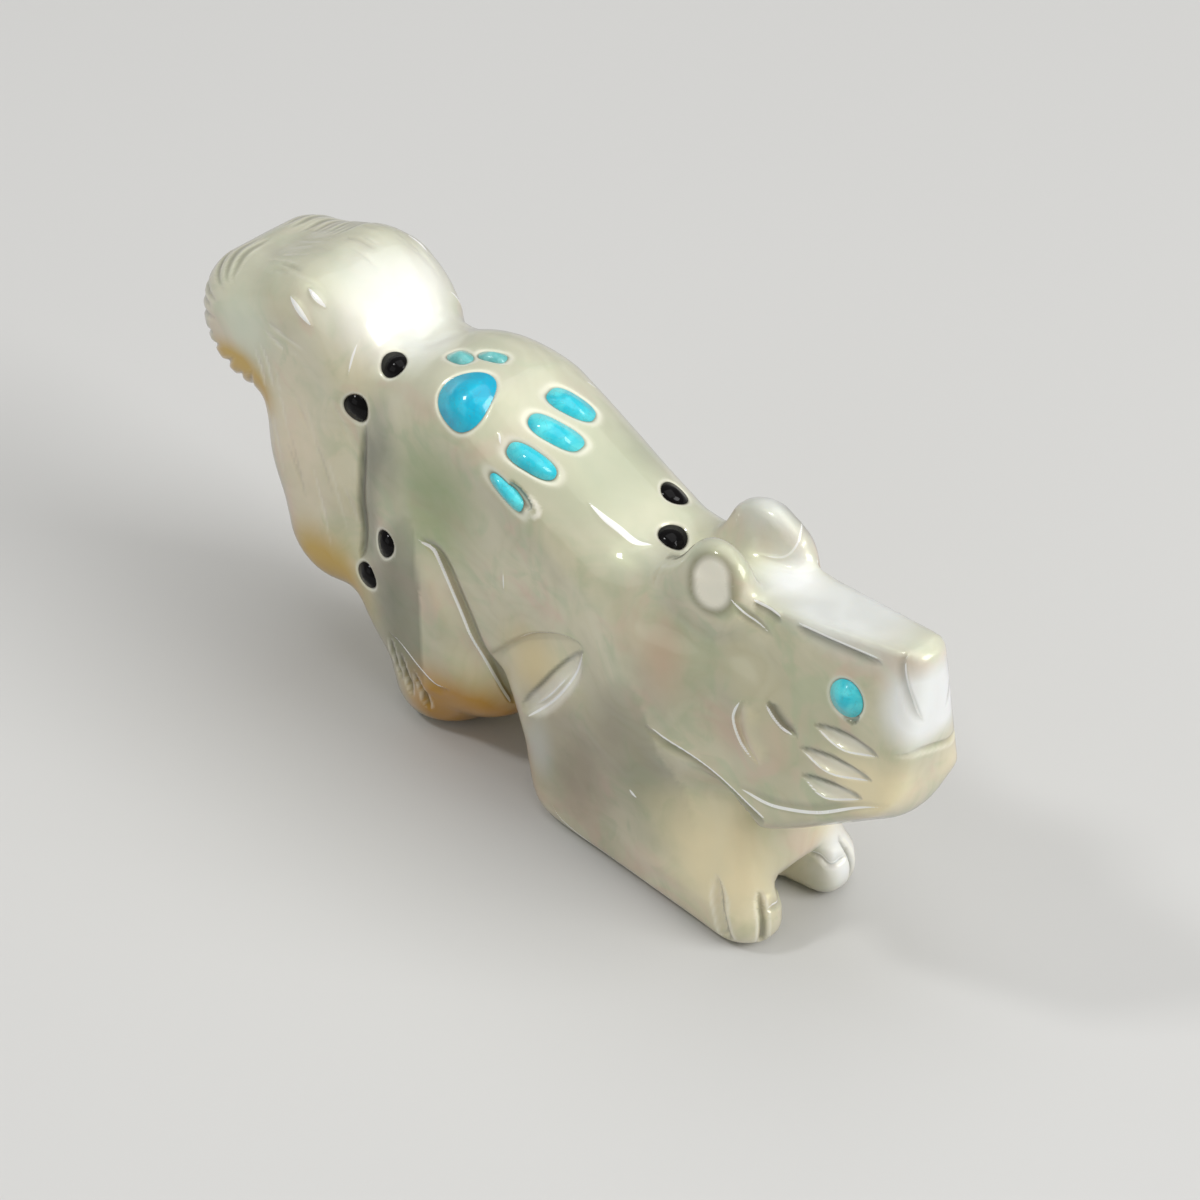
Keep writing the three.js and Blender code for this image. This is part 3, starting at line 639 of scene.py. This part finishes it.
def seat(place, turn):
    """Where an inlay sits: its middle on the shell, and the directions along, across and out of it."""
    origin = settle(np.array([place], float), 8)[0]
    normal = outward(origin[None])[0]
    across = np.cross(normal, (1, 0, 0))
    across /= np.linalg.norm(across)
    along = np.cross(across, normal)
    c, s = math.cos(math.radians(turn)), math.sin(math.radians(turn))
    return origin, c * along + s * across, c * across - s * along, normal


def inlay_outline(theta, shape, seed):
    """Radius factor of a hand-cut outline: the long stones have blunt ends and the palm three corners."""
    is_long = shape["length"] / shape["width"] > LONG
    rough, power = (0.06, 2.7) if is_long else (shape.get("rough", 0.02), 2)
    wobble = 1 + rough * (np.sin(2 * theta + 1.7 * seed) + 0.7 * np.sin(3 * theta + 2.9 * seed)) / 1.7
    blunt = (np.abs(np.cos(theta)) ** power + np.abs(np.sin(theta)) ** power) ** (-1 / power)
    return wobble * blunt * (1 + shape.get("corners", 0) * np.cos(3 * (theta + 0.25)))


def sockets(points):
    """How far points are into the inlays' sockets, 0 at the middle and 1 at the edge, and how far they
    are from that edge, below 0 inside."""
    into, size = np.full(len(points), 9.0), np.full(len(points), 1.0)
    for seed, (_, place, shape) in enumerate(INLAYS.values()):
        origin, along, across, _ = seat(place, shape["turn"])
        near = np.flatnonzero(np.linalg.norm(points - origin, axis=1) < shape["length"])
        q = points[near] - origin
        x = q @ along / (shape["length"] / 2)
        y = q @ across / (shape["width"] / 2)
        r = np.hypot(x, y) / inlay_outline(np.arctan2(y, x), shape, seed)
        nearer = r < into[near]
        into[near[nearer]] = r[nearer]
        size[near[nearer]] = shape["width"] / 2
    return into, (into - 1) * size


# ------------------------------------------------------------------------------------------ modelling
def select_only(*pieces):
    bpy.ops.object.select_all(action="DESELECT")
    for piece in pieces:
        piece.select_set(True)
    bpy.context.view_layer.objects.active = pieces[0]


def apply_modifier(piece, kind, **settings):
    select_only(piece)
    modifier = piece.modifiers.new(kind, kind)
    for name, value in settings.items():
        setattr(modifier, name, value)
    bpy.ops.object.modifier_apply(modifier=modifier.name)


def in_edit_mode(piece, *steps):
    select_only(piece)
    bpy.ops.object.mode_set(mode="EDIT")
    for step in steps:
        step()
    bpy.ops.object.mode_set(mode="OBJECT")


def select_all_points():
    bpy.ops.mesh.select_all(action="SELECT")


def points_of(piece):
    co = np.empty(3 * len(piece.data.vertices))
    piece.data.vertices.foreach_get("co", co)
    return co.reshape(-1, 3)


def set_points(piece, points):
    piece.data.vertices.foreach_set("co", points.ravel())
    piece.data.update()


def shade_smooth(piece):
    piece.data.polygons.foreach_set("use_smooth", np.ones(len(piece.data.polygons), bool))


def select_faces(piece, chosen):
    """Selects the faces of which a point is chosen."""
    mesh = piece.data
    loops = np.empty(len(mesh.loops), int)
    mesh.loops.foreach_get("vertex_index", loops)
    starts = np.empty(len(mesh.polygons), int)
    mesh.polygons.foreach_get("loop_start", starts)
    hit = np.add.reduceat(chosen[loops].astype(int), starts) > 0
    mesh.vertices.foreach_set("select", np.zeros(len(mesh.vertices), bool))
    mesh.edges.foreach_set("select", np.zeros(len(mesh.edges), bool))
    mesh.polygons.foreach_set("select", hit)


def add_attribute(piece, name, values):
    layer = piece.data.attributes.new(name, "FLOAT", "POINT")
    layer.data.foreach_set("value", values.astype(np.float32))


def blank():
    """The CAD solids copied and joined to one plain blank, in the carving's millimetres."""
    copies = []
    for name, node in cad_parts.items():
        copy = bpy.data.objects.new("blank_" + name, node.data.copy())
        bpy.context.scene.collection.objects.link(copy)
        copies.append(copy)
    select_only(*copies)
    bpy.ops.object.join()
    piece = copies[0]
    piece.name = piece.data.name = "pearl_body"
    piece.data.materials.clear()
    piece.data.transform(Matrix.Translation(ORIGIN) @ Matrix.Scale(1 / MM, 4))
    in_edit_mode(piece, select_all_points, lambda: bpy.ops.mesh.remove_doubles(threshold=1e-4))
    return piece


def even_out(piece, repeat):
    """Evens the mesh and draws it back onto the forms."""
    in_edit_mode(piece, select_all_points, lambda: bpy.ops.mesh.vertices_smooth(factor=0.5, repeat=repeat))
    set_points(piece, settle(points_of(piece)))


def engrave(points, normals, strokes):
    """Height of points after all strokes, the deepest cut where they cross, their painted light and painted
    shade, lighter and darker than the shell around, and their painted highlight lines."""
    raised, deep, light, dark, shine = np.zeros((5, len(points)))
    for stroke in strokes:
        near, d, tone, line = stroke.press(points, normals)
        if stroke.depth < 0:
            raised[near] = np.maximum(raised[near], -d)
        else:
            deep[near] = np.maximum(deep[near], d)
        light[near] = np.maximum(light[near], tone)
        dark[near] = np.maximum(dark[near], -tone)
        shine[near] = np.maximum(shine[near], line)
    return raised - deep, light, dark, shine


def divide(piece, chosen):
    select_faces(piece, chosen)
    in_edit_mode(piece, lambda: bpy.ops.mesh.subdivide(number_cuts=1, quadcorner="INNERVERT"))


def refine(piece, strokes):
    """Divides the mesh wherever a stroke or a socket needs it, and again at bright lines and rims."""
    for finest in (False, True):
        points = points_of(piece)
        height, light, dark, shine = engrave(points, outward(points), strokes)
        rim = np.abs(sockets(points)[1])
        if finest:
            divide(piece, (shine > 0.4) | (rim < 0.18))
        else:
            divide(piece, (np.abs(height) > 0.015) | (light + dark > 0.12) | (shine > 0.1) | (rim < 0.3))


def pearl_body():
    piece = blank()
    apply_modifier(piece, "REMESH", mode="VOXEL", voxel_size=0.5)
    even_out(piece, 4)
    apply_modifier(piece, "REMESH", mode="VOXEL", voxel_size=0.4)
    even_out(piece, 4)
    even_out(piece, 2)
    strokes = haunch_cuts() + flank_cuts() + arm_cuts() + back_cuts() + face_cuts() + ear_cuts() + tail_cuts()
    refine(piece, strokes)

    points = settle(points_of(piece))
    normals = outward(points)
    height, light, dark, shine = engrave(points, normals, strokes)
    planes = engrave(points, normals, RELIEF)[0]
    painted_light_plane, painted_shade_plane = engrave(points, normals, painted_planes())[1:3]
    into, gap = sockets(points)
    groove = 0.1 * np.exp(-((gap / 0.13) ** 2))
    floor_of_socket = 0.3 * np.clip((0.95 - into) / 0.15, 0, 1)
    points = points + normals * (height + planes - (groove + floor_of_socket))[:, None]
    low, high = (np.array(corner) / MM + ORIGIN for corner in cad_box)
    set_points(piece, np.clip(points, low, high))
    # Painted light and painted shade of the strokes, their nearly white painted highlight lines, painted
    # light and painted shade of the broad planes, then a pale glue ring round each inlay and the dark joint
    # at its edge.
    add_attribute(piece, "light", np.clip(light, 0, 1))
    add_attribute(piece, "dark", np.clip(dark, 0, 1))
    add_attribute(piece, "shine", shine)
    add_attribute(piece, "painted_light_plane", np.clip(painted_light_plane, 0, 1))
    add_attribute(piece, "painted_shade_plane", np.clip(painted_shade_plane, 0, 1))
    add_attribute(piece, "halo", np.exp(-(((gap - 0.14) / 0.12) ** 2)) * (gap > 0))
    add_attribute(piece, "seam", np.exp(-((gap / 0.06) ** 2)))
    piece.data.transform(Matrix.Scale(MM, 4) @ Matrix.Translation(-ORIGIN))
    shade_smooth(piece)
    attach(piece, "root")
    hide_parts("shell_body")
    return piece


def button():
    """A round button of radius 1 with a flat top of many rings, from a cylinder."""
    bpy.ops.object.select_all(action="DESELECT")
    bpy.ops.mesh.primitive_cylinder_add(vertices=56, radius=1, depth=1, location=(0, 0, -0.5))
    piece = bpy.context.object
    bpy.ops.object.transform_apply(location=True)
    top_rings, bottom_rings = (0.02, 0.04, 0.06, 0.09, 0.13, 0.16, 0.16, 0.16), (0.3,)
    for direction, rings in ((1, top_rings), (-1, bottom_rings)):
        for face in piece.data.polygons:
            face.select = face.normal.z * direction > 0.9
        in_edit_mode(piece, lambda: bpy.ops.mesh.select_mode(type="FACE"))
        in_edit_mode(piece, *[lambda w=w: bpy.ops.mesh.inset(thickness=w) for w in rings], bpy.ops.mesh.poke)
    return piece


def drop_onto_shell(points, normal):
    """Moves points along one direction until they lie on the shell."""
    for _ in range(5):
        fall = (slope(points) * normal).sum(1)
        move = -carving(points) / np.maximum(fall, 0.3)
        points = points + np.clip(move, -0.5, 0.5)[:, None] * normal
    return points


def inlay(name, place, shape, material, seed, pattern):
    """A button drawn to its outline, laid on the shell, domed and with a rounded edge."""
    piece = pattern.copy()
    piece.data = pattern.data.copy()
    piece.name = piece.data.name = name + "_stone"
    bpy.context.scene.collection.objects.link(piece)
    origin, along, across, normal = seat(place, shape["turn"])
    unit = points_of(piece)
    r = np.hypot(unit[:, 0], unit[:, 1])
    factor = inlay_outline(np.arctan2(unit[:, 1], unit[:, 0]), shape, seed)
    x = unit[:, 0] * factor * shape["length"] / 2
    y = unit[:, 1] * factor * shape["width"] / 2
    points = drop_onto_shell(origin + x[:, None] * along + y[:, None] * across, normal)
    planes = engrave(points, outward(points), RELIEF)[0]
    rounded = np.clip((r - (1 - EDGE_SHARE)) / EDGE_SHARE, 0, 1)
    rise = shape.get("rise", USUAL_RISE)
    dome = rise * (1 - r * r) - EDGE_DROP * (1 - np.sqrt(1 - rounded**2)) + EDGE_HEIGHT
    top = unit[:, 2] > -0.5
    points = points + np.where(top, dome + planes, -STONE_DEPTH)[:, None] * normal
    set_points(piece, (points - ORIGIN) * MM)
    shade_smooth(piece)
    piece.data.materials.append(material)
    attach(piece, "root")
    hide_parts(name)


# ------------------------------------------------------------------------------------------ materials
class Value:
    """A number that varies over a surface; an expression on it adds its Math nodes."""

    def __init__(self, finish, socket):
        self.finish, self.socket = finish, socket

    def math(self, operation, *others, swap=False, clamp=False):
        terms = [o.socket if isinstance(o, Value) else o for o in (self, *others)]
        if swap:
            terms.reverse()
        settings = {"operation": operation, "use_clamp": clamp}
        node = self.finish.node("ShaderNodeMath", settings, dict(enumerate(terms)))
        return Value(self.finish, node.outputs[0])

    def __add__(self, other):
        return self.math("ADD", other)

    def __sub__(self, other):
        return self.math("SUBTRACT", other)

    def __rsub__(self, other):
        return self.math("SUBTRACT", other, swap=True)

    def __mul__(self, other):
        return self.math("MULTIPLY", other)

    __radd__, __rmul__ = __add__, __mul__

    def limited(self):
        return self.math("ADD", 0.0, clamp=True)


class Finish:
    """A material under construction."""

    def __init__(self, name):
        self.material = bpy.data.materials.new(name)
        self.material.use_nodes = True
        self.tree = self.material.node_tree
        self.tree.nodes.clear()
        self.place = self.node("ShaderNodeTexCoord").outputs["Object"]

    def node(self, kind, settings=None, inputs=None):
        """A node of a kind, with its settings, and the values or links of its sockets."""
        node = self.tree.nodes.new(kind)
        for name, value in (settings or {}).items():
            setattr(node, name, value)
        for name, value in (inputs or {}).items():
            if isinstance(value, Value):
                value = value.socket
            if isinstance(value, bpy.types.NodeSocket):
                self.tree.links.new(value, node.inputs[name])
            else:
                node.inputs[name].default_value = value
        return node

    def noise(self, scale, detail, distortion=0.0):
        inputs = {"Vector": self.place, "Scale": scale, "Detail": detail, "Distortion": distortion}
        return Value(self, self.node("ShaderNodeTexNoise", None, inputs).outputs["Fac"])

    def attribute(self, name):
        return Value(self, self.node("ShaderNodeAttribute", {"attribute_name": name}).outputs["Fac"])

    def step(self, value, low, high):
        """0 below low, 1 above high, smooth between."""
        inputs = {"Value": value, "From Min": low, "From Max": high}
        node = self.node("ShaderNodeMapRange", {"interpolation_type": "SMOOTHSTEP"}, inputs)
        return Value(self, node.outputs["Result"])

    def mix(self, factor, a, b):
        """A colour between two, of which each is a link or three numbers."""
        a, b = ((*colour, 1) if isinstance(colour, tuple) else colour for colour in (a, b))
        return self.node("ShaderNodeMix", {"data_type": "RGBA"}, {0: factor, 6: a, 7: b}).outputs[2]

    def layered(self, colour, layers):
        """A colour under layers, each an amount and a colour."""
        for amount, tone in layers:
            colour = self.mix(amount, colour, tone)
        return colour

    def vector(self, operation, *terms):
        return self.node("ShaderNodeVectorMath", {"operation": operation}, dict(enumerate(terms)))

    def patch(self, centre, radii):
        """1 at a place drawn in millimetres, fading to 0 at its radii."""
        centre = Vector((np.array(centre) - ORIGIN) * MM)
        offset = self.vector("SUBTRACT", self.place, centre).outputs[0]
        scaled = self.vector("MULTIPLY", offset, tuple(1 / (r * MM) for r in radii)).outputs[0]
        length = self.vector("LENGTH", scaled).outputs["Value"]
        return 1 - self.step(Value(self, length), 0.1, 1.0)

    def bump(self, height, distance):
        inputs = {"Height": height, "Distance": distance, "Strength": 1.0}
        return self.node("ShaderNodeBump", None, inputs).outputs[0]

    def surface(self, **inputs):
        inputs = {name.replace("_", " "): value for name, value in inputs.items()}
        shader = self.node("ShaderNodeBsdfPrincipled", None, inputs)
        self.node("ShaderNodeOutputMaterial", None, {"Surface": shader.outputs[0]})
        return self.material


GREEN, SAGE, MOSS = (0.30, 0.36, 0.15), (0.74, 0.76, 0.60), (0.48, 0.50, 0.37)
# The pale blue-grey mist on the next line is the colour of a painted highlight.
GREY, HIGHLIGHT_MIST, UMBER = (0.21, 0.195, 0.125), (0.60, 0.63, 0.62), (0.29, 0.22, 0.15)
AMBER, HONEY, STRAW = (0.52, 0.25, 0.004), (0.60, 0.38, 0.06), (0.70, 0.56, 0.30)
CREAM, SAND, ROSE = (0.88, 0.76, 0.50), (0.86, 0.73, 0.53), (0.58, 0.40, 0.29)
# White and silver, the colours of painted highlights.
HIGHLIGHT_WHITE, HIGHLIGHT_SILVER = (0.96, 0.96, 0.94), (0.79, 0.80, 0.77)

# Soft patches of the shell's layers, and patches of painted highlight in white, silver and a pale blue-grey
# where the tail's top, the crown, the far ear, the muzzle's front, the far paw and the elbow's edge face the
# lamps: place and radii in millimetres, colour and strength. A patch of the right flank, with y below 0, is
# on the left one too.
PATCHES = (
    ((3, -5.4, 20.5), (6, 5, 7), GREEN, 0.8),
    ((-2.2, -5.4, 21.5), (3, 4, 5), GREY, 0.7),
    ((-1.6, -5.5, 10), (3.6, 4, 6), GREY, 0.6),
    ((-9.5, -5.4, 17), (5, 5, 9), SAND, 0.7),
    ((-14.6, -5.2, 25), (4.6, 5, 4), SAGE, 0.9),
    ((5.8, -5, 2.6), (8, 6, 6.4), AMBER, 1.6),
    ((-7.5, -5.5, 7.6), (6, 5, 6), HONEY, 1.3),
    ((-15.4, -4.8, 19.9), (4.4, 5, 3.4), HONEY, 2.2),
    ((28, -5, 6), (7, 5, 7), CREAM, 1.0),
    ((38.5, -3, 18), (5, 4, 3.4), CREAM, 1.1),
    ((16, -5.4, 6.5), (7, 4, 8), UMBER, 0.7),
    ((13, -2, 25.5), (6, 4, 3), MOSS, 0.8),
    ((20, -5.4, 12), (5, 4, 5), UMBER, 0.4),
    ((25, -5, 18.5), (7, 4, 6), GREY, 0.3),
    ((23, -5, 19), (2.6, 4, 4), ROSE, 0.6),
    ((28.4, -5, 17), (2, 3, 3), ROSE, 0.5),
    # Painted highlight on the elbow's edge.
    ((12.6, -4.6, 6), (2, 3, 4), HIGHLIGHT_MIST, 0.5),
    ((12, -5.3, 12.5), (4.4, 3, 4), STRAW, 0.8),
    # Painted highlights on the tail's top, the crown, the far ear, the muzzle's front and the far paw.
    ((-6, -1, 28), (7, 6, 4), HIGHLIGHT_WHITE, 0.6),
    ((33, -1, 27), (8, 3, 3), HIGHLIGHT_SILVER, 1.1),
    ((28.5, 0.5, 26), (3.6, 2.6, 2.6), HIGHLIGHT_WHITE, 1.0),
    ((25, 2.6, 27), (4, 2.6, 3.6), HIGHLIGHT_SILVER, 1.0),
    ((40, -1, 24), (3, 3.4, 4), HIGHLIGHT_WHITE, 1.6),
    ((31, 3.4, 3), (4, 3, 4), HIGHLIGHT_WHITE, 1.0),
)


def growth_bands(finish):
    """Fine wavy bands of the shell's layers, from 0 to 1."""
    inputs = {"Vector": finish.place, "Rotation": (0.5, 0.35, 0.2)}
    turned = finish.node("ShaderNodeMapping", None, inputs).outputs[0]
    settings = {"wave_type": "BANDS", "bands_direction": "Y", "wave_profile": "SIN"}
    inputs = {"Vector": turned, "Scale": 150.0, "Distortion": 14.0, "Detail": 3.0, "Detail Scale": 0.9}
    return Value(finish, finish.node("ShaderNodeTexWave", settings, inputs).outputs["Fac"])


def mother_of_pearl():
    """Cream shell with grey-green, rose and green clouds, fine growth bands and an amber skin low down, with
    painted light and shade over it: faces that turn up mixed towards a pale grey-green, painted light and
    shade on broad planes and along the strokes, nearly white painted highlights along the bright lines and
    patches of painted highlight.
    """
    finish = Finish("mother_of_pearl")
    normal = finish.node("ShaderNodeNewGeometry").outputs["Normal"]
    up = Value(finish, finish.node("ShaderNodeSeparateXYZ", None, {0: normal}).outputs["Z"])
    clouds = finish.noise(120, 4, 0.6)
    drift = finish.noise(330, 3, 1.2)
    blush = finish.noise(200, 3, 1.0)
    grain = finish.noise(2600, 2)
    bands = growth_bands(finish)

    colour = finish.mix(finish.step(clouds, 0.35, 0.65), (0.56, 0.51, 0.35), (0.70, 0.64, 0.46))
    colour = finish.layered(colour, (
        (finish.step(drift, 0.45, 0.7) * 0.5, (0.43, 0.50, 0.30)),
        (finish.step(blush, 0.52, 0.7) * 0.5, (0.70, 0.48, 0.38)),
        ((bands - 0.5).math("ABSOLUTE") * 0.2, (0.84, 0.80, 0.66)),
        # Painted light: faces that turn up are mixed towards a pale grey-green.
        (finish.step(up, 0.15, 0.9) * 0.7, (0.64, 0.65, 0.51)),
        # Painted shade and painted light of the broad planes.
        (finish.attribute("painted_shade_plane") * 0.7, (0.15, 0.14, 0.08)),
        (finish.attribute("painted_light_plane") * 0.6, (0.88, 0.77, 0.52)),
    ))
    # Patches of the shell's layers; the white, silver and pale blue-grey ones are painted highlights.
    for (x, y, z), radii, tone, strength in PATCHES:
        for side in (1, -1) if y < 0 else (1,):
            cloudy = finish.patch((x, y * side, z), radii) * (0.65 + finish.noise(240, 3, 0.8) * 0.7)
            colour = finish.mix((cloudy * strength).limited(), colour, tone)
    # A nearly white painted highlight along the bright lines, which are also smoother.
    shine = finish.step(finish.attribute("shine"), LINE_EDGE - 0.06, LINE_EDGE + 0.06)
    # Painted shade in the cuts, painted light on their edges and in pale hollows, a pale glue ring round each
    # inlay and its dark joint.
    colour = finish.layered(colour, (
        (finish.attribute("dark") * 0.8, (0.12, 0.10, 0.06)),
        (finish.attribute("light") * 0.85, (0.96, 0.92, 0.80)),
        (finish.attribute("halo") * 0.7, (0.90, 0.87, 0.74)),
        (finish.attribute("seam") * 0.6, (0.08, 0.07, 0.05)),
        (shine, (1.0, 0.99, 0.96)),
    ))
    height = bands * 0.12 + clouds * 0.5 + grain * 0.05
    return finish.surface(
        Base_Color=colour,
        Roughness=0.34 + drift * 0.12 - shine * 0.14,
        Metallic=0.04 + bands * 0.10,
        IOR=1.53,
        Coat_Weight=0.7,
        Coat_Roughness=0.05,
        Subsurface_Weight=0.10,
        Subsurface_Radius=(1.0, 0.8, 0.6),
        Subsurface_Scale=0.0010,
        Thin_Film_Thickness=420.0,
        Thin_Film_IOR=1.4,
        Normal=finish.bump(height, 0.00008),
    )


def turquoise(name, deep, pale):
    """Clouded blue stone with thin darker veins."""
    finish = Finish(name)
    clouds = finish.noise(700, 4, 0.5)
    colour = finish.mix(finish.step(clouds, 0.35, 0.7), deep, pale)
    veins = (finish.noise(1100, 5, 1.5) - 0.5).math("ABSOLUTE")
    colour = finish.mix((1 - finish.step(veins, 0.0, 0.02)) * 0.25, colour, (0.10, 0.22, 0.20))
    return finish.surface(
        Base_Color=colour,
        Roughness=0.28 + clouds * 0.12,
        Specular_IOR_Level=0.3,
        Coat_Weight=0.6,
        Coat_Roughness=0.04,
        Normal=finish.bump(finish.noise(2200, 3), 0.00002),
    )


def jet():
    finish = Finish("jet")
    clouds = finish.noise(900, 3)
    return finish.surface(
        Base_Color=finish.mix(clouds, (0.002, 0.002, 0.0025), (0.006, 0.005, 0.005)),
        Roughness=0.2 + clouds * 0.14,
        Specular_IOR_Level=0.02,
        Coat_Weight=0.25,
        Coat_Roughness=0.05,
        Normal=finish.bump(finish.noise(1800, 3), 0.00002),
    )


def floor_finish():
    finish = Finish("pale_floor")
    clouds = finish.noise(6, 3)
    colour = finish.mix(clouds, (0.60, 0.60, 0.59), (0.64, 0.64, 0.63))
    return finish.surface(Base_Color=colour, Roughness=0.7 + clouds * 0.1, Specular_IOR_Level=0.2)


# ----------------------------------------------------------------------------------- camera and light
# The photograph's view, in degrees round from the right flank and up, and in metres. The focal length is
# in pixels of a picture 1200 pixels wide.
TURN, ELEVATION, DISTANCE, LOOK_AT = 46, 40, 0.260, (0.002672, 0.00005, 0.014798)
SENSOR, FOCAL_PIXELS, PICTURE_WIDTH = 36, 4160, 1200


def add_camera():
    az, el = math.radians(TURN), math.radians(ELEVATION)
    back = Vector((math.sin(az) * math.cos(el), -math.cos(az) * math.cos(el), math.sin(el)))
    right = Vector((math.cos(az), math.sin(az), 0))
    up = back.cross(right)
    data = bpy.data.cameras.new("camera")
    data.sensor_width, data.lens = SENSOR, SENSOR * FOCAL_PIXELS / PICTURE_WIDTH
    data.clip_start, data.clip_end = 0.01, 10
    camera = bpy.data.objects.new("camera", data)
    turned = Matrix((right, up, back)).transposed().to_4x4()
    camera.matrix_world = Matrix.Translation(Vector(LOOK_AT) + back * DISTANCE) @ turned
    bpy.context.scene.collection.objects.link(camera)
    bpy.context.scene.camera = camera


def add_light(name, place, target, size, power):
    data = bpy.data.lights.new(name, "AREA")
    data.shape, data.size, data.size_y = "RECTANGLE", *size
    data.energy = power
    light = bpy.data.objects.new(name, data)
    light.location = place
    light.rotation_euler = (Vector(target) - Vector(place)).to_track_quat("-Z", "Y").to_euler()
    bpy.context.scene.collection.objects.link(light)


def add_studio():
    """A pale floor, two softboxes, a weak fill, and a small lamp for the glints."""
    bpy.ops.object.select_all(action="DESELECT")
    bpy.ops.mesh.primitive_plane_add(size=3)
    floor = bpy.context.object
    floor.name = "floor"
    floor.data.materials.append(floor_finish())
    add_light("softbox_above", (0.02, 0.10, 0.5), (0, 0, 0.01), (0.6, 0.5), 1.15)
    add_light("softbox_front", (0.42, 0.16, 0.34), (0.01, 0, 0.015), (0.3, 0.24), 1.75)
    add_light("fill_left", (-0.2, -0.6, 0.3), (0, 0, 0.01), (0.5, 0.4), 0.42)
    add_light("glint", (-0.19, -0.22, 0.41), (0, 0, 0.02), (0.07, 0.07), 0.48)
    world = bpy.data.worlds.new("studio")
    world.use_nodes = True
    background = world.node_tree.nodes["Background"]
    background.inputs["Color"].default_value = (1.0, 0.98, 0.95, 1)
    background.inputs["Strength"].default_value = 0.3
    bpy.context.scene.world = world
    bpy.context.scene.view_settings.view_transform = "Standard"


# ---------------------------------------------------------------------------------------------- scene
add_camera()
body = pearl_body()
body.data.materials.append(mother_of_pearl())
stones = {
    "deep": (turquoise("turquoise", (0.002, 0.44, 0.66), (0.01, 0.60, 0.82)), "turquoise"),
    "pale": (turquoise("pale_turquoise", (0.02, 0.60, 0.74), (0.12, 0.82, 0.88)), "turquoise"),
    "clouded": (turquoise("clouded_turquoise", (0.12, 0.48, 0.48), (0.25, 0.64, 0.62)), "turquoise"),
    "jet": (jet(), "jet"),
}
pattern = button()
for seed, (name, (stone, place, shape)) in enumerate(INLAYS.items()):
    material, slot = stones[stone]
    inlay(name, place, shape, material, seed, pattern)
bpy.data.objects.remove(pattern)
add_studio()
